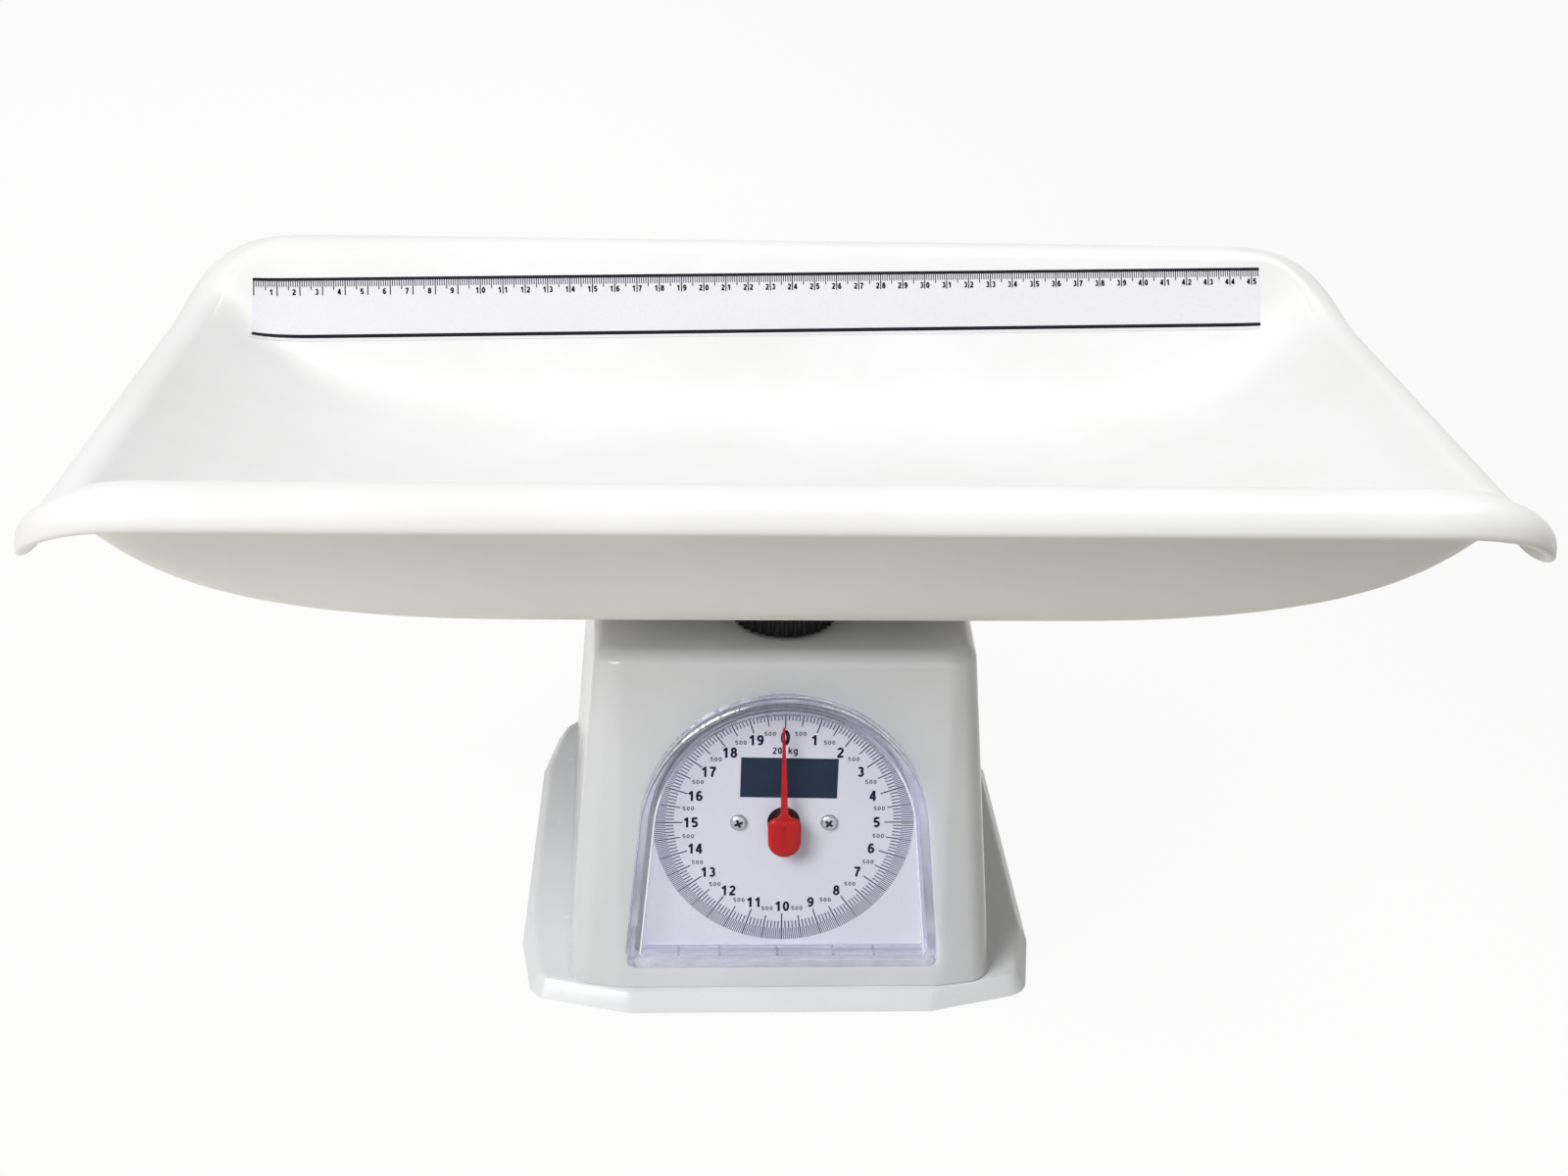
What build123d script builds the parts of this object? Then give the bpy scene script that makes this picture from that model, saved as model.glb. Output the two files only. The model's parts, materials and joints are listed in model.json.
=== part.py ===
from build123d import *

import os
from math import asin, atan, cos, degrees, pi, radians, sin, tan

os.makedirs("parts", exist_ok=True)

# Spring dial baby scale. Millimetres, +Z up, +X to the right of someone reading the dial.
# The origin is the centre of the footprint, on the surface the scale stands on.

# ---- fits ----
seat_gap = 0.2          # air between two pieces that only sit beside each other
running_gap = 0.05      # radial clearance of a turning or sliding fit

# ---- tray ----
tray_wall = 3.0
rim_half_x = 264.0      # outermost faces of the rolled rim
rim_half_y = 155.0
rim_roll = 14.0         # radius of the rolled rim, outside of the crest
rim_inner_roll = 9.0    # radius of the rim where it turns down into the bowl
rim_corner = 58.0       # reach of the rim's corners, at the lip
crest_corner = 44.0     # and at the crest
rim_squareness = 0.8    # handles of the corners' curves: 0.55 is round, 1 is square
floor_squareness = 0.55
side_crest_z = 244.0    # height of the crest along the two long sides
end_crest_z = 222.0     # the crest dips at the two ends
side_lip_drop = 12.0    # how far the lip hangs under its crest, along the sides
end_lip_drop = 18.0
side_wall_angle = 61.0  # slope of the long walls
end_wall_angle = 38.0   # slope at the top of the end ramps
floor_z = 177.0         # inner floor
floor_half_x = 112.0    # flat part of the floor, before the ends sweep up
floor_half_y = 94.0
floor_corner = 85.0     # reach of the floor's corners
wall_corner = 30.0      # reach of the bowl's corners under the rim
floor_turn = 11.0       # length of the turn between floor and long wall
end_sweep_low = 55.0    # reach of the ramp's bend, at the floor and at the top
end_sweep_high = 35.0
side_sweep_high = 60.0
rim_steps = 6           # facets of the rolled rim, and of the walls under it
wall_steps = 12
lip_keep = 8.0          # width of the band inside the rim that trimming the lip leaves alone

# ---- tray bosses, pads and carrier ----
boss_radius = 8.0
boss_drop = 3.0
boss_x = 60.0
boss_y = 44.0
pad_thickness = 2.0
carrier_arm_width = 16.0
carrier_arm_thickness = 5.0
carrier_hub_half = 19.0
carrier_rib_height = 3.0
carrier_rib_width = 3.0
tray_screw_radius = 2.0
tray_screw_head_radius = 4.2
tray_screw_head_height = 2.4
tray_screw_bite = 4.5
carrier_bolt_radius = 3.0
carrier_bolt_head_radius = 5.5
carrier_bolt_head_height = 2.5

# ---- length strip on the back wall ----
strip_length = 454.0
strip_width = 28.0
strip_thickness = 0.3
strip_foot_z = 208.4
strip_shift = -4.4      # the film is stuck on by hand, a little to the left
strip_tilt = 1.3        # and rising a little to the right

# ---- housing ----
face_lean = 8.0         # the dial face leans back
dial_z = 79.0           # height of the dial's centre
dial_y = -87.8
housing_bottom = 9.0
housing_top = 148.0
housing_half_bottom = 84.5
housing_half_top = 72.5
housing_back_flare = 6.5    # each side is this much further out at the back
housing_back_bottom = 102.0
housing_back_top = 83.0
housing_wall = 2.6
housing_corner = 11.0
corner_steps = 6            # facets round one corner of the housing
edge_steps = 4              # facets over its top edge
housing_flat_half = 63.5    # flat part of the face, before it turns back
housing_face_setback = 4.0  # how far the face's outer parts stand back
housing_top_edge = 8.0
column_hole_half = 15.0
spindle_hole_radius = 4.5
housing_screw_y = (-56.0, 58.0)
housing_screw_radius = 1.75
housing_screw_head_radius = 3.5
housing_screw_head_height = 2.0
housing_screw_bite = 12.0
housing_boss_radius = 4.0
housing_boss_height = 18.0
housing_boss_bite = 0.8     # how far a boss's top runs into the housing's side

# ---- plinth ----
plinth_bottom = 1.5
plinth_side_reach = 20.9    # how far the plinth's foot stands out beyond the housing's
plinth_front_reach = 6.4
plinth_back_reach = 20.0
plinth_skirt = 5.5          # its side slopes in by this much up to the ledge
plinth_front_half = 60.0
plinth_back_half = 88.0
plinth_cheek_in = 5.9       # the eight-sided plan, from its widest and longest points
plinth_cheek_front = 11.0
plinth_cheek_back = 9.0
plinth_taper = 35.0
plinth_corner = 10.0
plinth_corner_steps = 3
plinth_edge_steps = 3
plinth_wall = 2.5
plinth_edge = 2.5
ledge_reach = 14.0      # width of the ledge the housing stands on

# ---- bottom plate, feet ----
plate_thickness = 1.5
plate_gap = 0.5
foot_radius = 9.0
foot_inset_x = 25.4     # from the plinth's foot
foot_inset_y = 26.0
foot_screw_radius = 2.0
foot_screw_head_radius = 4.0
foot_screw_head_height = 2.5
foot_screw_recess = 1.0

# ---- chassis ----
chassis_sheet = 2.0
cheek_x = 30.0          # inner faces of the two cheeks
chassis_front_y = -78.0
cheek_back_y = 52.0
cheek_top_z = 124.0
bridge_front_y = -64.0
bridge_back_y = -28.0
chassis_screw_x = 20.0
chassis_screw_y = (-50.0, 36.0)
chassis_screw_radius = 2.0
chassis_screw_head_radius = 3.8
chassis_screw_head_height = 2.0

# ---- platform and its parallel links ----
travel = 12.69          # sink of the platform at full load: one turn of the pinion
column_half = 12.0
column_wall = 2.0
column_plate = 4.0      # closed ends of the column
column_bottom = 28.0
link_length = 45.0
lower_pin_z = 46.0      # link pins in the column, unloaded
upper_pin_z = 108.0
link_pin_radius = 2.5
link_pin_head_radius = 4.0
link_pin_head = 1.2
link_arm_x = 14.0       # inner faces of a link's two arms
link_arm_thickness = 2.5
link_arm_height = 11.0
link_tie_y = 12.0       # the tie between the arms, measured forward of the fixed pin
link_tie_radius = 3.0
link_slot_play = 0.9    # the slot that lets the straight-line platform meet the swinging link

# ---- springs ----
spring_y = -46.0
spring_x = 18.0
spring_radius = 6.0
spring_wire = 1.8
spring_coils = 12
arm_bottom = 38.0
arm_thickness = 3.0
arm_half = 9.0
arm_front_y = -80.0
arm_flange_height = 24.0
arm_screw_z = 56.0
arm_screw_x = 5.0
arm_screw_radius = 1.5
arm_screw_head_radius = 2.8
arm_screw_head_height = 1.6
spring_bar_radius = 2.5
spring_bar_half = 24.0
yoke_half_y = 6.0
yoke_height = 6.0
yoke_top = 118.0

# ---- zero adjuster ----
wheel_radius = 20.5
wheel_thickness = 7.5
wheel_lift = 1.2        # air between wheel and housing
wheel_grips = 48
wheel_grip_depth = 0.8
wheel_dish_radius = 13.0
wheel_dish_depth = 2.0
spindle_radius = 3.0
spindle_collar_radius = 6.0
spindle_collar_height = 3.0
clip_radius = 5.5
clip_thickness = 1.0

# ---- dial ----
window_radius = 55.5    # arch of the dial window
window_drop = 58.6      # from the dial's centre to the window's bottom edge
window_flare = 5.6      # the window's straight sides open towards the bottom
window_corner = 3.5
window_depth = 9.0
window_sheet = 1.6
window_edge = 1.0       # rounding of the window's front edge
window_edge_steps = 3
window_flange = 1.4
window_flange_thickness = 1.2
window_spigot = 2.2
opening_inset = 3.0     # the housing's opening, inside the window's outline
card_thickness = 0.4
backplate_thickness = 1.5
backplate_depth = 3.0   # front face of the backplate, behind the housing's face
pivot_hole_radius = 6.4
dial_screw_x = 17.5
dial_screw_radius = 1.6
dial_screw_head_radius = 3.3
dial_screw_head_height = 1.8

# ---- pointer movement ----
gear_module = 0.4
pinion_teeth = 10
tooth_addendum = 0.32
tooth_root = 0.5
tooth_backlash = 0.2
pressure_angle = 20.0
pinion_front = 16.0     # depths are measured inwards from the housing's face
pinion_back = 22.0
rack_front = 13.5
rack_back = 22.5
rack_thickness = 4.5
rack_teeth_below = 3
rack_teeth_above = 13
movement_back = 27.0
movement_sheet = 1.5
movement_half = 22.0
movement_height = 14.0
shaft_radius = 1.0
shaft_front = 4.6       # how far the shaft stands out of the face
shaft_back = 30.0
bush_radius = 2.5
bush_flange_radius = 3.5
bush_flange = 0.8
rack_screw_radius = 1.3
rack_screw_head_radius = 2.4
rack_screw_head_height = 1.5

# ---- pointer ----
needle_length = 40.0
needle_root = 1.5
needle_tip = 0.5
tail_half = 6.1
tail_length = 14.0
tail_rise = 3.0
pointer_level = 3.2     # back of the pointer, in front of the housing's face
pointer_thickness = 1.0
hub_radius = 3.0
hub_length = 2.4

# ---- overload stop ----
stop_radius = 5.0
stop_pad_thickness = 2.0
stop_gap = 0.3

# ---- worked out ----
lean = radians(face_lean)
face_plane = Plane(origin=(0, dial_y, dial_z), x_dir=(1, 0, 0), z_dir=(0, -cos(lean), sin(lean)))
face_axis = Axis(face_plane.origin, face_plane.z_dir)
backplate_rear = backplate_depth + backplate_thickness
movement_front = backplate_rear
ledge_top = housing_bottom
ledge_bottom = ledge_top - plinth_wall
plate_top = ledge_bottom
plate_bottom = plate_top - plate_thickness
chassis_floor = plate_top + chassis_sheet
carrier_top = floor_z - tray_wall - boss_drop - pad_thickness
carrier_bottom = carrier_top - carrier_arm_thickness
pinion_radius = gear_module * pinion_teeth / 2
tooth_pitch = pi * gear_module
end_roll_x = rim_half_x - rim_roll
side_roll_y = rim_half_y - rim_roll
swing = degrees(asin(travel / 2 / link_length))
swing_rise = travel / 2
fixed_pin_y = link_length * cos(radians(swing))
arm_top = arm_bottom + arm_thickness
arm_screw_spots = [(-arm_screw_x, arm_screw_z), (arm_screw_x, arm_screw_z)]
block_foot = floor_z - rim_roll
rack_depth = (rack_front + rack_back) / 2
rack_foot_drop = (dial_z - rack_depth * sin(lean) - arm_top) / cos(lean)
rack_screw_x = pinion_radius + tooth_root + rack_thickness / 2
rack_screw_y = dial_y + rack_depth * cos(lean) - rack_foot_drop * sin(lean)
housing_front = dial_y - (dial_z - housing_bottom) * tan(lean)
plinth_half_x = housing_half_bottom + plinth_side_reach
plinth_front_y = housing_front - plinth_front_reach
plinth_back_y = housing_back_bottom + plinth_back_reach
foot_x = plinth_half_x - foot_inset_x
foot_y = (plinth_front_y + foot_inset_y, plinth_back_y - foot_inset_y)
foot_spots = [(x, y) for x in (-foot_x, foot_x) for y in foot_y]
spring_bar_z = arm_top + spring_bar_radius
wall_top_y = side_roll_y - rim_inner_roll * sin(radians(side_wall_angle))
wall_top_z = side_crest_z - rim_inner_roll * (1 - cos(radians(side_wall_angle)))


# ---- tray ----
def bezier(controls, t):
    a, b, c, d = controls
    u = 1 - t
    return a * u**3 + 3 * b * t * u**2 + 3 * c * t**2 * u + d * t**3


def bezier_slope(controls, t):
    a, b, c, d = controls
    u = 1 - t
    return 3 * (b - a) * u**2 + 6 * (c - b) * t * u + 3 * (d - c) * t**2


def wall_stations(roll_at, crest_z, wall_angle, reach, low, high, quickening):
    """Points down one wall of the tray, from the lip's foot over the crest to the floor.

    Each is (outward distance, height, normal outward, normal up).
    """
    outer_z = crest_z - rim_roll
    stations = [(roll_at + rim_roll, block_foot, 1.0, 0.0)]
    for step in range(rim_steps + 1):
        turn = radians(90 * step / rim_steps)
        out = roll_at + rim_roll * cos(turn)
        stations.append((out, outer_z + rim_roll * sin(turn), cos(turn), sin(turn)))
    inner_z = crest_z - rim_inner_roll
    for step in (1, 2, 3):
        turn = radians(90 + wall_angle * step / 3)
        out = roll_at + rim_inner_roll * cos(turn)
        stations.append((out, inner_z + rim_inner_roll * sin(turn), cos(turn), sin(turn)))
    top, top_z = stations[-1][:2]
    slope = radians(wall_angle)
    outs = (top, top - high * cos(slope), reach + low, reach)
    heights = (top_z, top_z - high * sin(slope), floor_z, floor_z)
    for step in range(1, wall_steps + 1):
        t = (step / wall_steps) ** quickening
        run = bezier_slope(outs, t)
        rise = bezier_slope(heights, t)
        size = (run**2 + rise**2) ** 0.5
        stations.append((bezier(outs, t), bezier(heights, t), rise / size, -run / size))
    return stations


def tray_ring(out_x, end_z, out_y, side_z, corner, squareness):
    """A rounded rectangle whose ends may sit lower than its sides."""
    reach = squareness * corner
    flat_x = out_x - corner
    flat_y = out_y - corner
    edges = []
    for sx, sy in ((1, 1), (-1, 1), (-1, -1), (1, -1)):
        side = Vector(sx * flat_x, sy * out_y, side_z)
        end = Vector(sx * out_x, sy * flat_y, end_z)
        bend = [side, side + Vector(sx * reach, 0, 0), end + Vector(0, sy * reach, 0), end]
        if sx == sy:
            edges.append(Edge.make_bezier(*reversed(bend)))
            edges.append(Edge.make_line(side, Vector(-sx * flat_x, sy * out_y, side_z)))
        else:
            edges.append(Edge.make_bezier(*bend))
            edges.append(Edge.make_line(end, Vector(sx * out_x, -sy * flat_y, end_z)))
    return Wire(edges)


def tray_block(inset):
    """Everything under the tray's upper surface, with that surface moved in by an inset."""
    sides = wall_stations(
        side_roll_y, side_crest_z, side_wall_angle, floor_half_y, floor_turn, side_sweep_high, 1.0
    )
    ends = wall_stations(
        end_roll_x, end_crest_z, end_wall_angle, floor_half_x, end_sweep_low, end_sweep_high, 2.0
    )
    rings = []
    first_wall = len(sides) - wall_steps
    for index, (side, end) in enumerate(zip(sides, ends)):
        rolled = (side[0] - side_roll_y) / rim_roll
        dipped = (side_roll_y - side[0]) / (side_roll_y - wall_top_y)
        bend = max(index - first_wall + 1, 0) / wall_steps
        squareness = rim_squareness + (floor_squareness - rim_squareness) * bend
        if index >= first_wall:
            corner = wall_corner + (floor_corner - wall_corner) * bend**1.5
        elif rolled < 0:
            corner = crest_corner + (wall_corner - crest_corner) * dipped
        else:
            corner = crest_corner + (rim_corner - crest_corner) * rolled
        out_x, end_z = end[0] - inset * end[2], end[1] - inset * end[3]
        out_y, side_z = side[0] - inset * side[2], side[1] - inset * side[3]
        if index == 0:
            end_z = side_z = block_foot - inset
        rings.append(tray_ring(out_x, end_z, out_y, side_z, corner - inset / 2, squareness))
    return Solid.make_loft(rings, ruled=True)


side_lip_z = side_crest_z - side_lip_drop
end_lip_z = end_crest_z - end_lip_drop
with BuildPart() as lip_trim:
    with BuildSketch(Plane.XZ):
        with BuildLine():
            reach = rim_squareness * rim_corner
            flat = rim_half_x - rim_corner
            far = rim_half_x + rim_corner
            for side in (1, -1):
                Bezier(
                    (side * flat, side_lip_z),
                    (side * (flat + reach), side_lip_z),
                    (side * rim_half_x, end_lip_z),
                    (side * rim_half_x, end_lip_z),
                )
                Line((side * rim_half_x, end_lip_z), (side * far, end_lip_z))
                Line((side * far, end_lip_z), (side * far, block_foot - rim_corner))
            Line((-flat, side_lip_z), (flat, side_lip_z))
            Line((-far, block_foot - rim_corner), (far, block_foot - rim_corner))
        make_face()
    extrude(amount=rim_half_y + rim_corner, both=True)
    with BuildSketch(Plane.XY.offset(block_foot - rim_corner)):
        RectangleRounded(
            2 * (rim_half_x - lip_keep), 2 * (rim_half_y - lip_keep), rim_corner - lip_keep
        )
    extrude(amount=side_crest_z - block_foot + rim_corner, mode=Mode.SUBTRACT)

boss_spots = [(x, y) for x in (-boss_x, boss_x) for y in (-boss_y, boss_y)]
boss_foot = floor_z - tray_wall - boss_drop
with BuildPart() as tray:
    add(tray_block(0))
    add(tray_block(tray_wall), mode=Mode.SUBTRACT)
    add(lip_trim.part, mode=Mode.SUBTRACT)
    with BuildSketch(Plane.XY.offset(boss_foot)):
        with Locations(*boss_spots):
            Circle(boss_radius)
    extrude(amount=boss_drop + tray_wall / 2)
    with BuildSketch(Plane.XY.offset(boss_foot)):
        with Locations(*boss_spots):
            Circle(tray_screw_radius)
    extrude(amount=tray_screw_bite, mode=Mode.SUBTRACT)
tray.part.label = "tray"
export_step(tray.part, "parts/tray.step")

strip_rise = strip_width * sin(radians(side_wall_angle))
strip_run = strip_width * cos(radians(side_wall_angle))
strip_foot_y = wall_top_y - (wall_top_z - strip_foot_z) / tan(radians(side_wall_angle))
strip_plane = Plane(
    origin=(strip_shift, strip_foot_y + strip_run / 2, strip_foot_z + strip_rise / 2),
    x_dir=(1, 0, 0),
    z_dir=(0, -sin(radians(side_wall_angle)), cos(radians(side_wall_angle))),
)
with BuildPart() as length_strip:
    with BuildSketch(strip_plane):
        Rectangle(strip_length, strip_width, rotation=strip_tilt)
    extrude(amount=rim_roll, both=True)
    add(tray_block(-strip_thickness), mode=Mode.INTERSECT)
    add(tray_block(0), mode=Mode.SUBTRACT)
length_strip.part.label = "length_strip"
export_step(length_strip.part, "parts/length_strip.step")

with BuildPart() as tray_pads:
    with BuildSketch(Plane.XY.offset(carrier_top)):
        with Locations(*boss_spots):
            Circle(boss_radius)
            Circle(tray_screw_radius + seat_gap, mode=Mode.SUBTRACT)
    extrude(amount=pad_thickness)
tray_pads.part.label = "tray_pads"
export_step(tray_pads.part, "parts/tray_pads.step")

with BuildPart() as tray_screws:
    with BuildSketch(Plane.XY.offset(carrier_bottom)):
        with Locations(*boss_spots):
            Circle(tray_screw_head_radius)
    extrude(amount=-tray_screw_head_height)
    with BuildSketch(Plane.XY.offset(carrier_bottom)):
        with Locations(*boss_spots):
            Circle(tray_screw_radius)
    extrude(amount=boss_foot + tray_screw_bite - carrier_bottom)
tray_screws.part.label = "tray_screws"
export_step(tray_screws.part, "parts/tray_screws.step")

# ---- carrier and column ----
arm_length = (boss_x**2 + boss_y**2) ** 0.5
arm_angle = degrees(atan(boss_y / boss_x))
with BuildPart() as tray_carrier:
    with BuildSketch(Plane.XY.offset(carrier_bottom)):
        Rectangle(2 * carrier_hub_half, 2 * carrier_hub_half)
        for turn in (arm_angle, -arm_angle):
            SlotCenterToCenter(2 * arm_length, carrier_arm_width, rotation=turn)
    extrude(amount=carrier_arm_thickness)
    with BuildSketch(Plane.XY.offset(carrier_top)):
        for turn in (arm_angle, -arm_angle):
            Rectangle(2 * (arm_length - 1.5 * boss_radius), carrier_rib_width, rotation=turn)
        Circle(carrier_bolt_head_radius + carrier_rib_width)
    extrude(amount=carrier_rib_height)
    with BuildSketch(Plane.XY.offset(carrier_bottom)):
        with Locations(*boss_spots):
            Circle(tray_screw_radius + seat_gap)
        Circle(carrier_bolt_radius + seat_gap)
    extrude(amount=carrier_arm_thickness + carrier_rib_height, mode=Mode.SUBTRACT)
    with BuildSketch(Plane.XY.offset(carrier_top)):
        Circle(carrier_bolt_head_radius + seat_gap)
    extrude(amount=carrier_rib_height, mode=Mode.SUBTRACT)
tray_carrier.part.label = "tray_carrier"
export_step(tray_carrier.part, "parts/tray_carrier.step")

with BuildPart() as carrier_bolt:
    with BuildSketch(Plane.XY.offset(carrier_top)):
        RegularPolygon(carrier_bolt_head_radius, 6)
    extrude(amount=carrier_bolt_head_height)
    with BuildSketch(Plane.XY.offset(carrier_top)):
        Circle(carrier_bolt_radius)
    extrude(amount=-carrier_arm_thickness - column_plate)
carrier_bolt.part.label = "carrier_bolt"
export_step(carrier_bolt.part, "parts/carrier_bolt.step")

with BuildPart() as column:
    with BuildSketch(Plane.XY.offset(column_bottom)):
        RectangleRounded(2 * column_half, 2 * column_half, column_wall)
    extrude(amount=carrier_bottom - column_bottom)
    with BuildSketch(Plane.XY.offset(column_bottom + column_plate)):
        Rectangle(2 * (column_half - column_wall), 2 * (column_half - column_wall))
    extrude(amount=carrier_bottom - column_bottom - 2 * column_plate, mode=Mode.SUBTRACT)
    with Locations((0, 0, carrier_bottom)):
        Hole(carrier_bolt_radius, depth=column_plate)
    with BuildSketch(Plane.YZ):
        with Locations((0, lower_pin_z), (0, upper_pin_z)):
            Circle(link_pin_radius)
    extrude(amount=column_half, both=True, mode=Mode.SUBTRACT)
    with BuildSketch(Plane.XZ):
        with Locations(*arm_screw_spots):
            Circle(arm_screw_radius)
    extrude(amount=column_half, mode=Mode.SUBTRACT)
column.part.label = "column"
export_step(column.part, "parts/column.step")

link_outer_x = link_arm_x + link_arm_thickness
with BuildPart() as column_pins:
    with BuildSketch(Plane.YZ):
        with Locations((0, lower_pin_z), (0, upper_pin_z)):
            Circle(link_pin_radius)
    extrude(amount=link_outer_x + seat_gap, both=True)
    for side in (1, -1):
        with BuildSketch(Plane.YZ.offset(side * (link_outer_x + seat_gap))):
            with Locations((0, lower_pin_z), (0, upper_pin_z)):
                Circle(link_pin_head_radius)
        extrude(amount=side * link_pin_head)
column_pins.part.label = "column_pins"
export_step(column_pins.part, "parts/column_pins.step")

cheek_outer_x = cheek_x + chassis_sheet
fixed_pins_at = [(fixed_pin_y, lower_pin_z - swing_rise), (fixed_pin_y, upper_pin_z - swing_rise)]
with BuildPart() as frame_pins:
    with BuildSketch(Plane.YZ):
        with Locations(*fixed_pins_at):
            Circle(link_pin_radius)
    extrude(amount=cheek_outer_x, both=True)
    for side in (1, -1):
        with BuildSketch(Plane.YZ.offset(side * cheek_outer_x)):
            with Locations(*fixed_pins_at):
                Circle(link_pin_head_radius)
        extrude(amount=side * link_pin_head)
frame_pins.part.label = "frame_pins"
export_step(frame_pins.part, "parts/frame_pins.step")


def parallel_link(pin_z):
    """A link seen from its fixed pin, with its arms either side of the column."""
    along = Vector(0, -cos(radians(swing)), sin(radians(swing)))
    plane = Plane(origin=(0, fixed_pin_y, pin_z - swing_rise), x_dir=along, z_dir=(-1, 0, 0))
    slot_at = (link_length + fixed_pin_y) / 2
    with BuildPart() as link:
        for side in (1, -1):
            with BuildSketch(plane.offset(side * link_arm_x)):
                with Locations((link_length / 2, 0)):
                    SlotCenterToCenter(link_length, link_arm_height)
                Circle(link_pin_radius + running_gap, mode=Mode.SUBTRACT)
                with Locations((slot_at, 0)):
                    slot_height = 2 * (link_pin_radius + running_gap)
                    SlotOverall(slot_height + link_slot_play, slot_height, mode=Mode.SUBTRACT)
            extrude(amount=side * link_arm_thickness)
        with BuildSketch(plane):
            with Locations((link_tie_y, 0)):
                Circle(link_tie_radius)
        extrude(amount=link_arm_x, both=True)
    return link


lower_link = parallel_link(lower_pin_z)
lower_link.part.label = "lower_link"
export_step(lower_link.part, "parts/lower_link.step")

upper_link = parallel_link(upper_pin_z)
upper_link.part.label = "upper_link"
export_step(upper_link.part, "parts/upper_link.step")

# ---- spring arm, bar, springs, yoke ----
with BuildPart() as spring_arm:
    with BuildSketch(Plane.XY.offset(arm_bottom)):
        with Locations((0, (arm_front_y - column_half) / 2)):
            Rectangle(2 * arm_half, -arm_front_y - column_half)
    extrude(amount=arm_thickness)
    with BuildSketch(Plane.XY.offset(arm_bottom)):
        with Locations((0, -column_half - arm_thickness / 2)):
            Rectangle(2 * arm_half, arm_thickness)
    extrude(amount=arm_flange_height)
    with BuildSketch(Plane.XZ.offset(column_half)):
        with Locations(*arm_screw_spots):
            Circle(arm_screw_radius + seat_gap)
    extrude(amount=arm_thickness, mode=Mode.SUBTRACT)
    with Locations((rack_screw_x, rack_screw_y, arm_top)):
        Hole(rack_screw_radius + seat_gap, depth=arm_thickness)
spring_arm.part.label = "spring_arm"
export_step(spring_arm.part, "parts/spring_arm.step")

with BuildPart() as arm_screws:
    with BuildSketch(Plane.XZ.offset(column_half + arm_thickness)):
        with Locations(*arm_screw_spots):
            Circle(arm_screw_head_radius)
    extrude(amount=arm_screw_head_height)
    with BuildSketch(Plane.XZ.offset(column_half - column_wall)):
        with Locations(*arm_screw_spots):
            Circle(arm_screw_radius)
    extrude(amount=column_wall + arm_thickness)
arm_screws.part.label = "arm_screws"
export_step(arm_screws.part, "parts/arm_screws.step")

with BuildPart() as spring_bar:
    with BuildSketch(Plane.YZ):
        with Locations((spring_y, spring_bar_z)):
            Circle(spring_bar_radius)
    extrude(amount=spring_bar_half, both=True)
spring_bar.part.label = "spring_bar"
export_step(spring_bar.part, "parts/spring_bar.step")

yoke_z = yoke_top - yoke_height / 2
with BuildPart() as spring_yoke:
    with BuildSketch(Plane.XY.offset(yoke_top - yoke_height)):
        with Locations((0, spring_y)):
            Rectangle(2 * (spring_x - spring_radius), 2 * yoke_half_y)
            Circle(spindle_radius + running_gap, mode=Mode.SUBTRACT)
    extrude(amount=yoke_height)
    for side in (1, -1):
        with BuildSketch(Plane.YZ.offset(side * (spring_x - spring_radius))):
            with Locations((spring_y, yoke_z)):
                Circle(spring_bar_radius)
        extrude(amount=side * (spring_bar_half - spring_x + spring_radius))
spring_yoke.part.label = "spring_yoke"
export_step(spring_yoke.part, "parts/spring_yoke.step")

loop_radius = spring_bar_radius + spring_wire / 2 + seat_gap
coil_length = spring_coils * spring_wire
coil_foot = (spring_bar_z + yoke_z - coil_length) / 2
with BuildPart() as main_springs:
    for side in (1, -1):
        with BuildSketch(Plane.XZ.offset(-spring_y)):
            with BuildLine():
                middle = side * spring_x
                outer = middle + spring_radius
                groove = outer - spring_wire / 2
                turns = [(middle, coil_foot), (groove, coil_foot)]
                for coil in range(spring_coils):
                    turns.append((outer, coil_foot + (coil + 0.5) * spring_wire))
                    turns.append((groove, coil_foot + (coil + 1) * spring_wire))
                Polyline(*turns, (middle, coil_foot + coil_length), close=True)
            make_face()
        revolve(axis=Axis((side * spring_x, spring_y, 0), (0, 0, 1)))
        for loop_z, coil_end in ((spring_bar_z, coil_foot), (yoke_z, coil_foot + coil_length)):
            reach = abs(coil_end - loop_z)
            with BuildSketch(Plane.YZ.offset(side * spring_x)):
                with Locations((spring_y, loop_z)):
                    Circle(loop_radius + spring_wire / 2)
                    Circle(loop_radius - spring_wire / 2, mode=Mode.SUBTRACT)
            extrude(amount=spring_wire / 2, both=True)
            with BuildSketch(Plane.XY.offset(coil_end)):
                with Locations((side * spring_x, spring_y)):
                    Rectangle(spring_wire, spring_wire)
            extrude(amount=(loop_z - coil_end) / reach * (reach - loop_radius))
main_springs.part.label = "main_springs"
export_step(main_springs.part, "parts/main_springs.step")

# ---- zero adjuster ----
wheel_foot = housing_top + wheel_lift
wheel_top = wheel_foot + wheel_thickness
with BuildPart() as zero_wheel:
    with BuildSketch(Plane.XY.offset(wheel_foot)):
        with Locations((0, spring_y)):
            with BuildLine():
                grips = []
                for grip in range(2 * wheel_grips):
                    turn = pi * grip / wheel_grips
                    reach = wheel_radius - wheel_grip_depth * (grip % 2)
                    grips.append((reach * cos(turn), spring_y + reach * sin(turn)))
                Polyline(*grips, close=True)
            make_face()
            Circle(spindle_radius, mode=Mode.SUBTRACT)
    extrude(amount=wheel_thickness)
    with BuildSketch(Plane.XY.offset(wheel_top)):
        with Locations((0, spring_y)):
            Circle(wheel_dish_radius)
            Circle(spindle_collar_radius, mode=Mode.SUBTRACT)
    extrude(amount=-wheel_dish_depth, mode=Mode.SUBTRACT)
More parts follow.
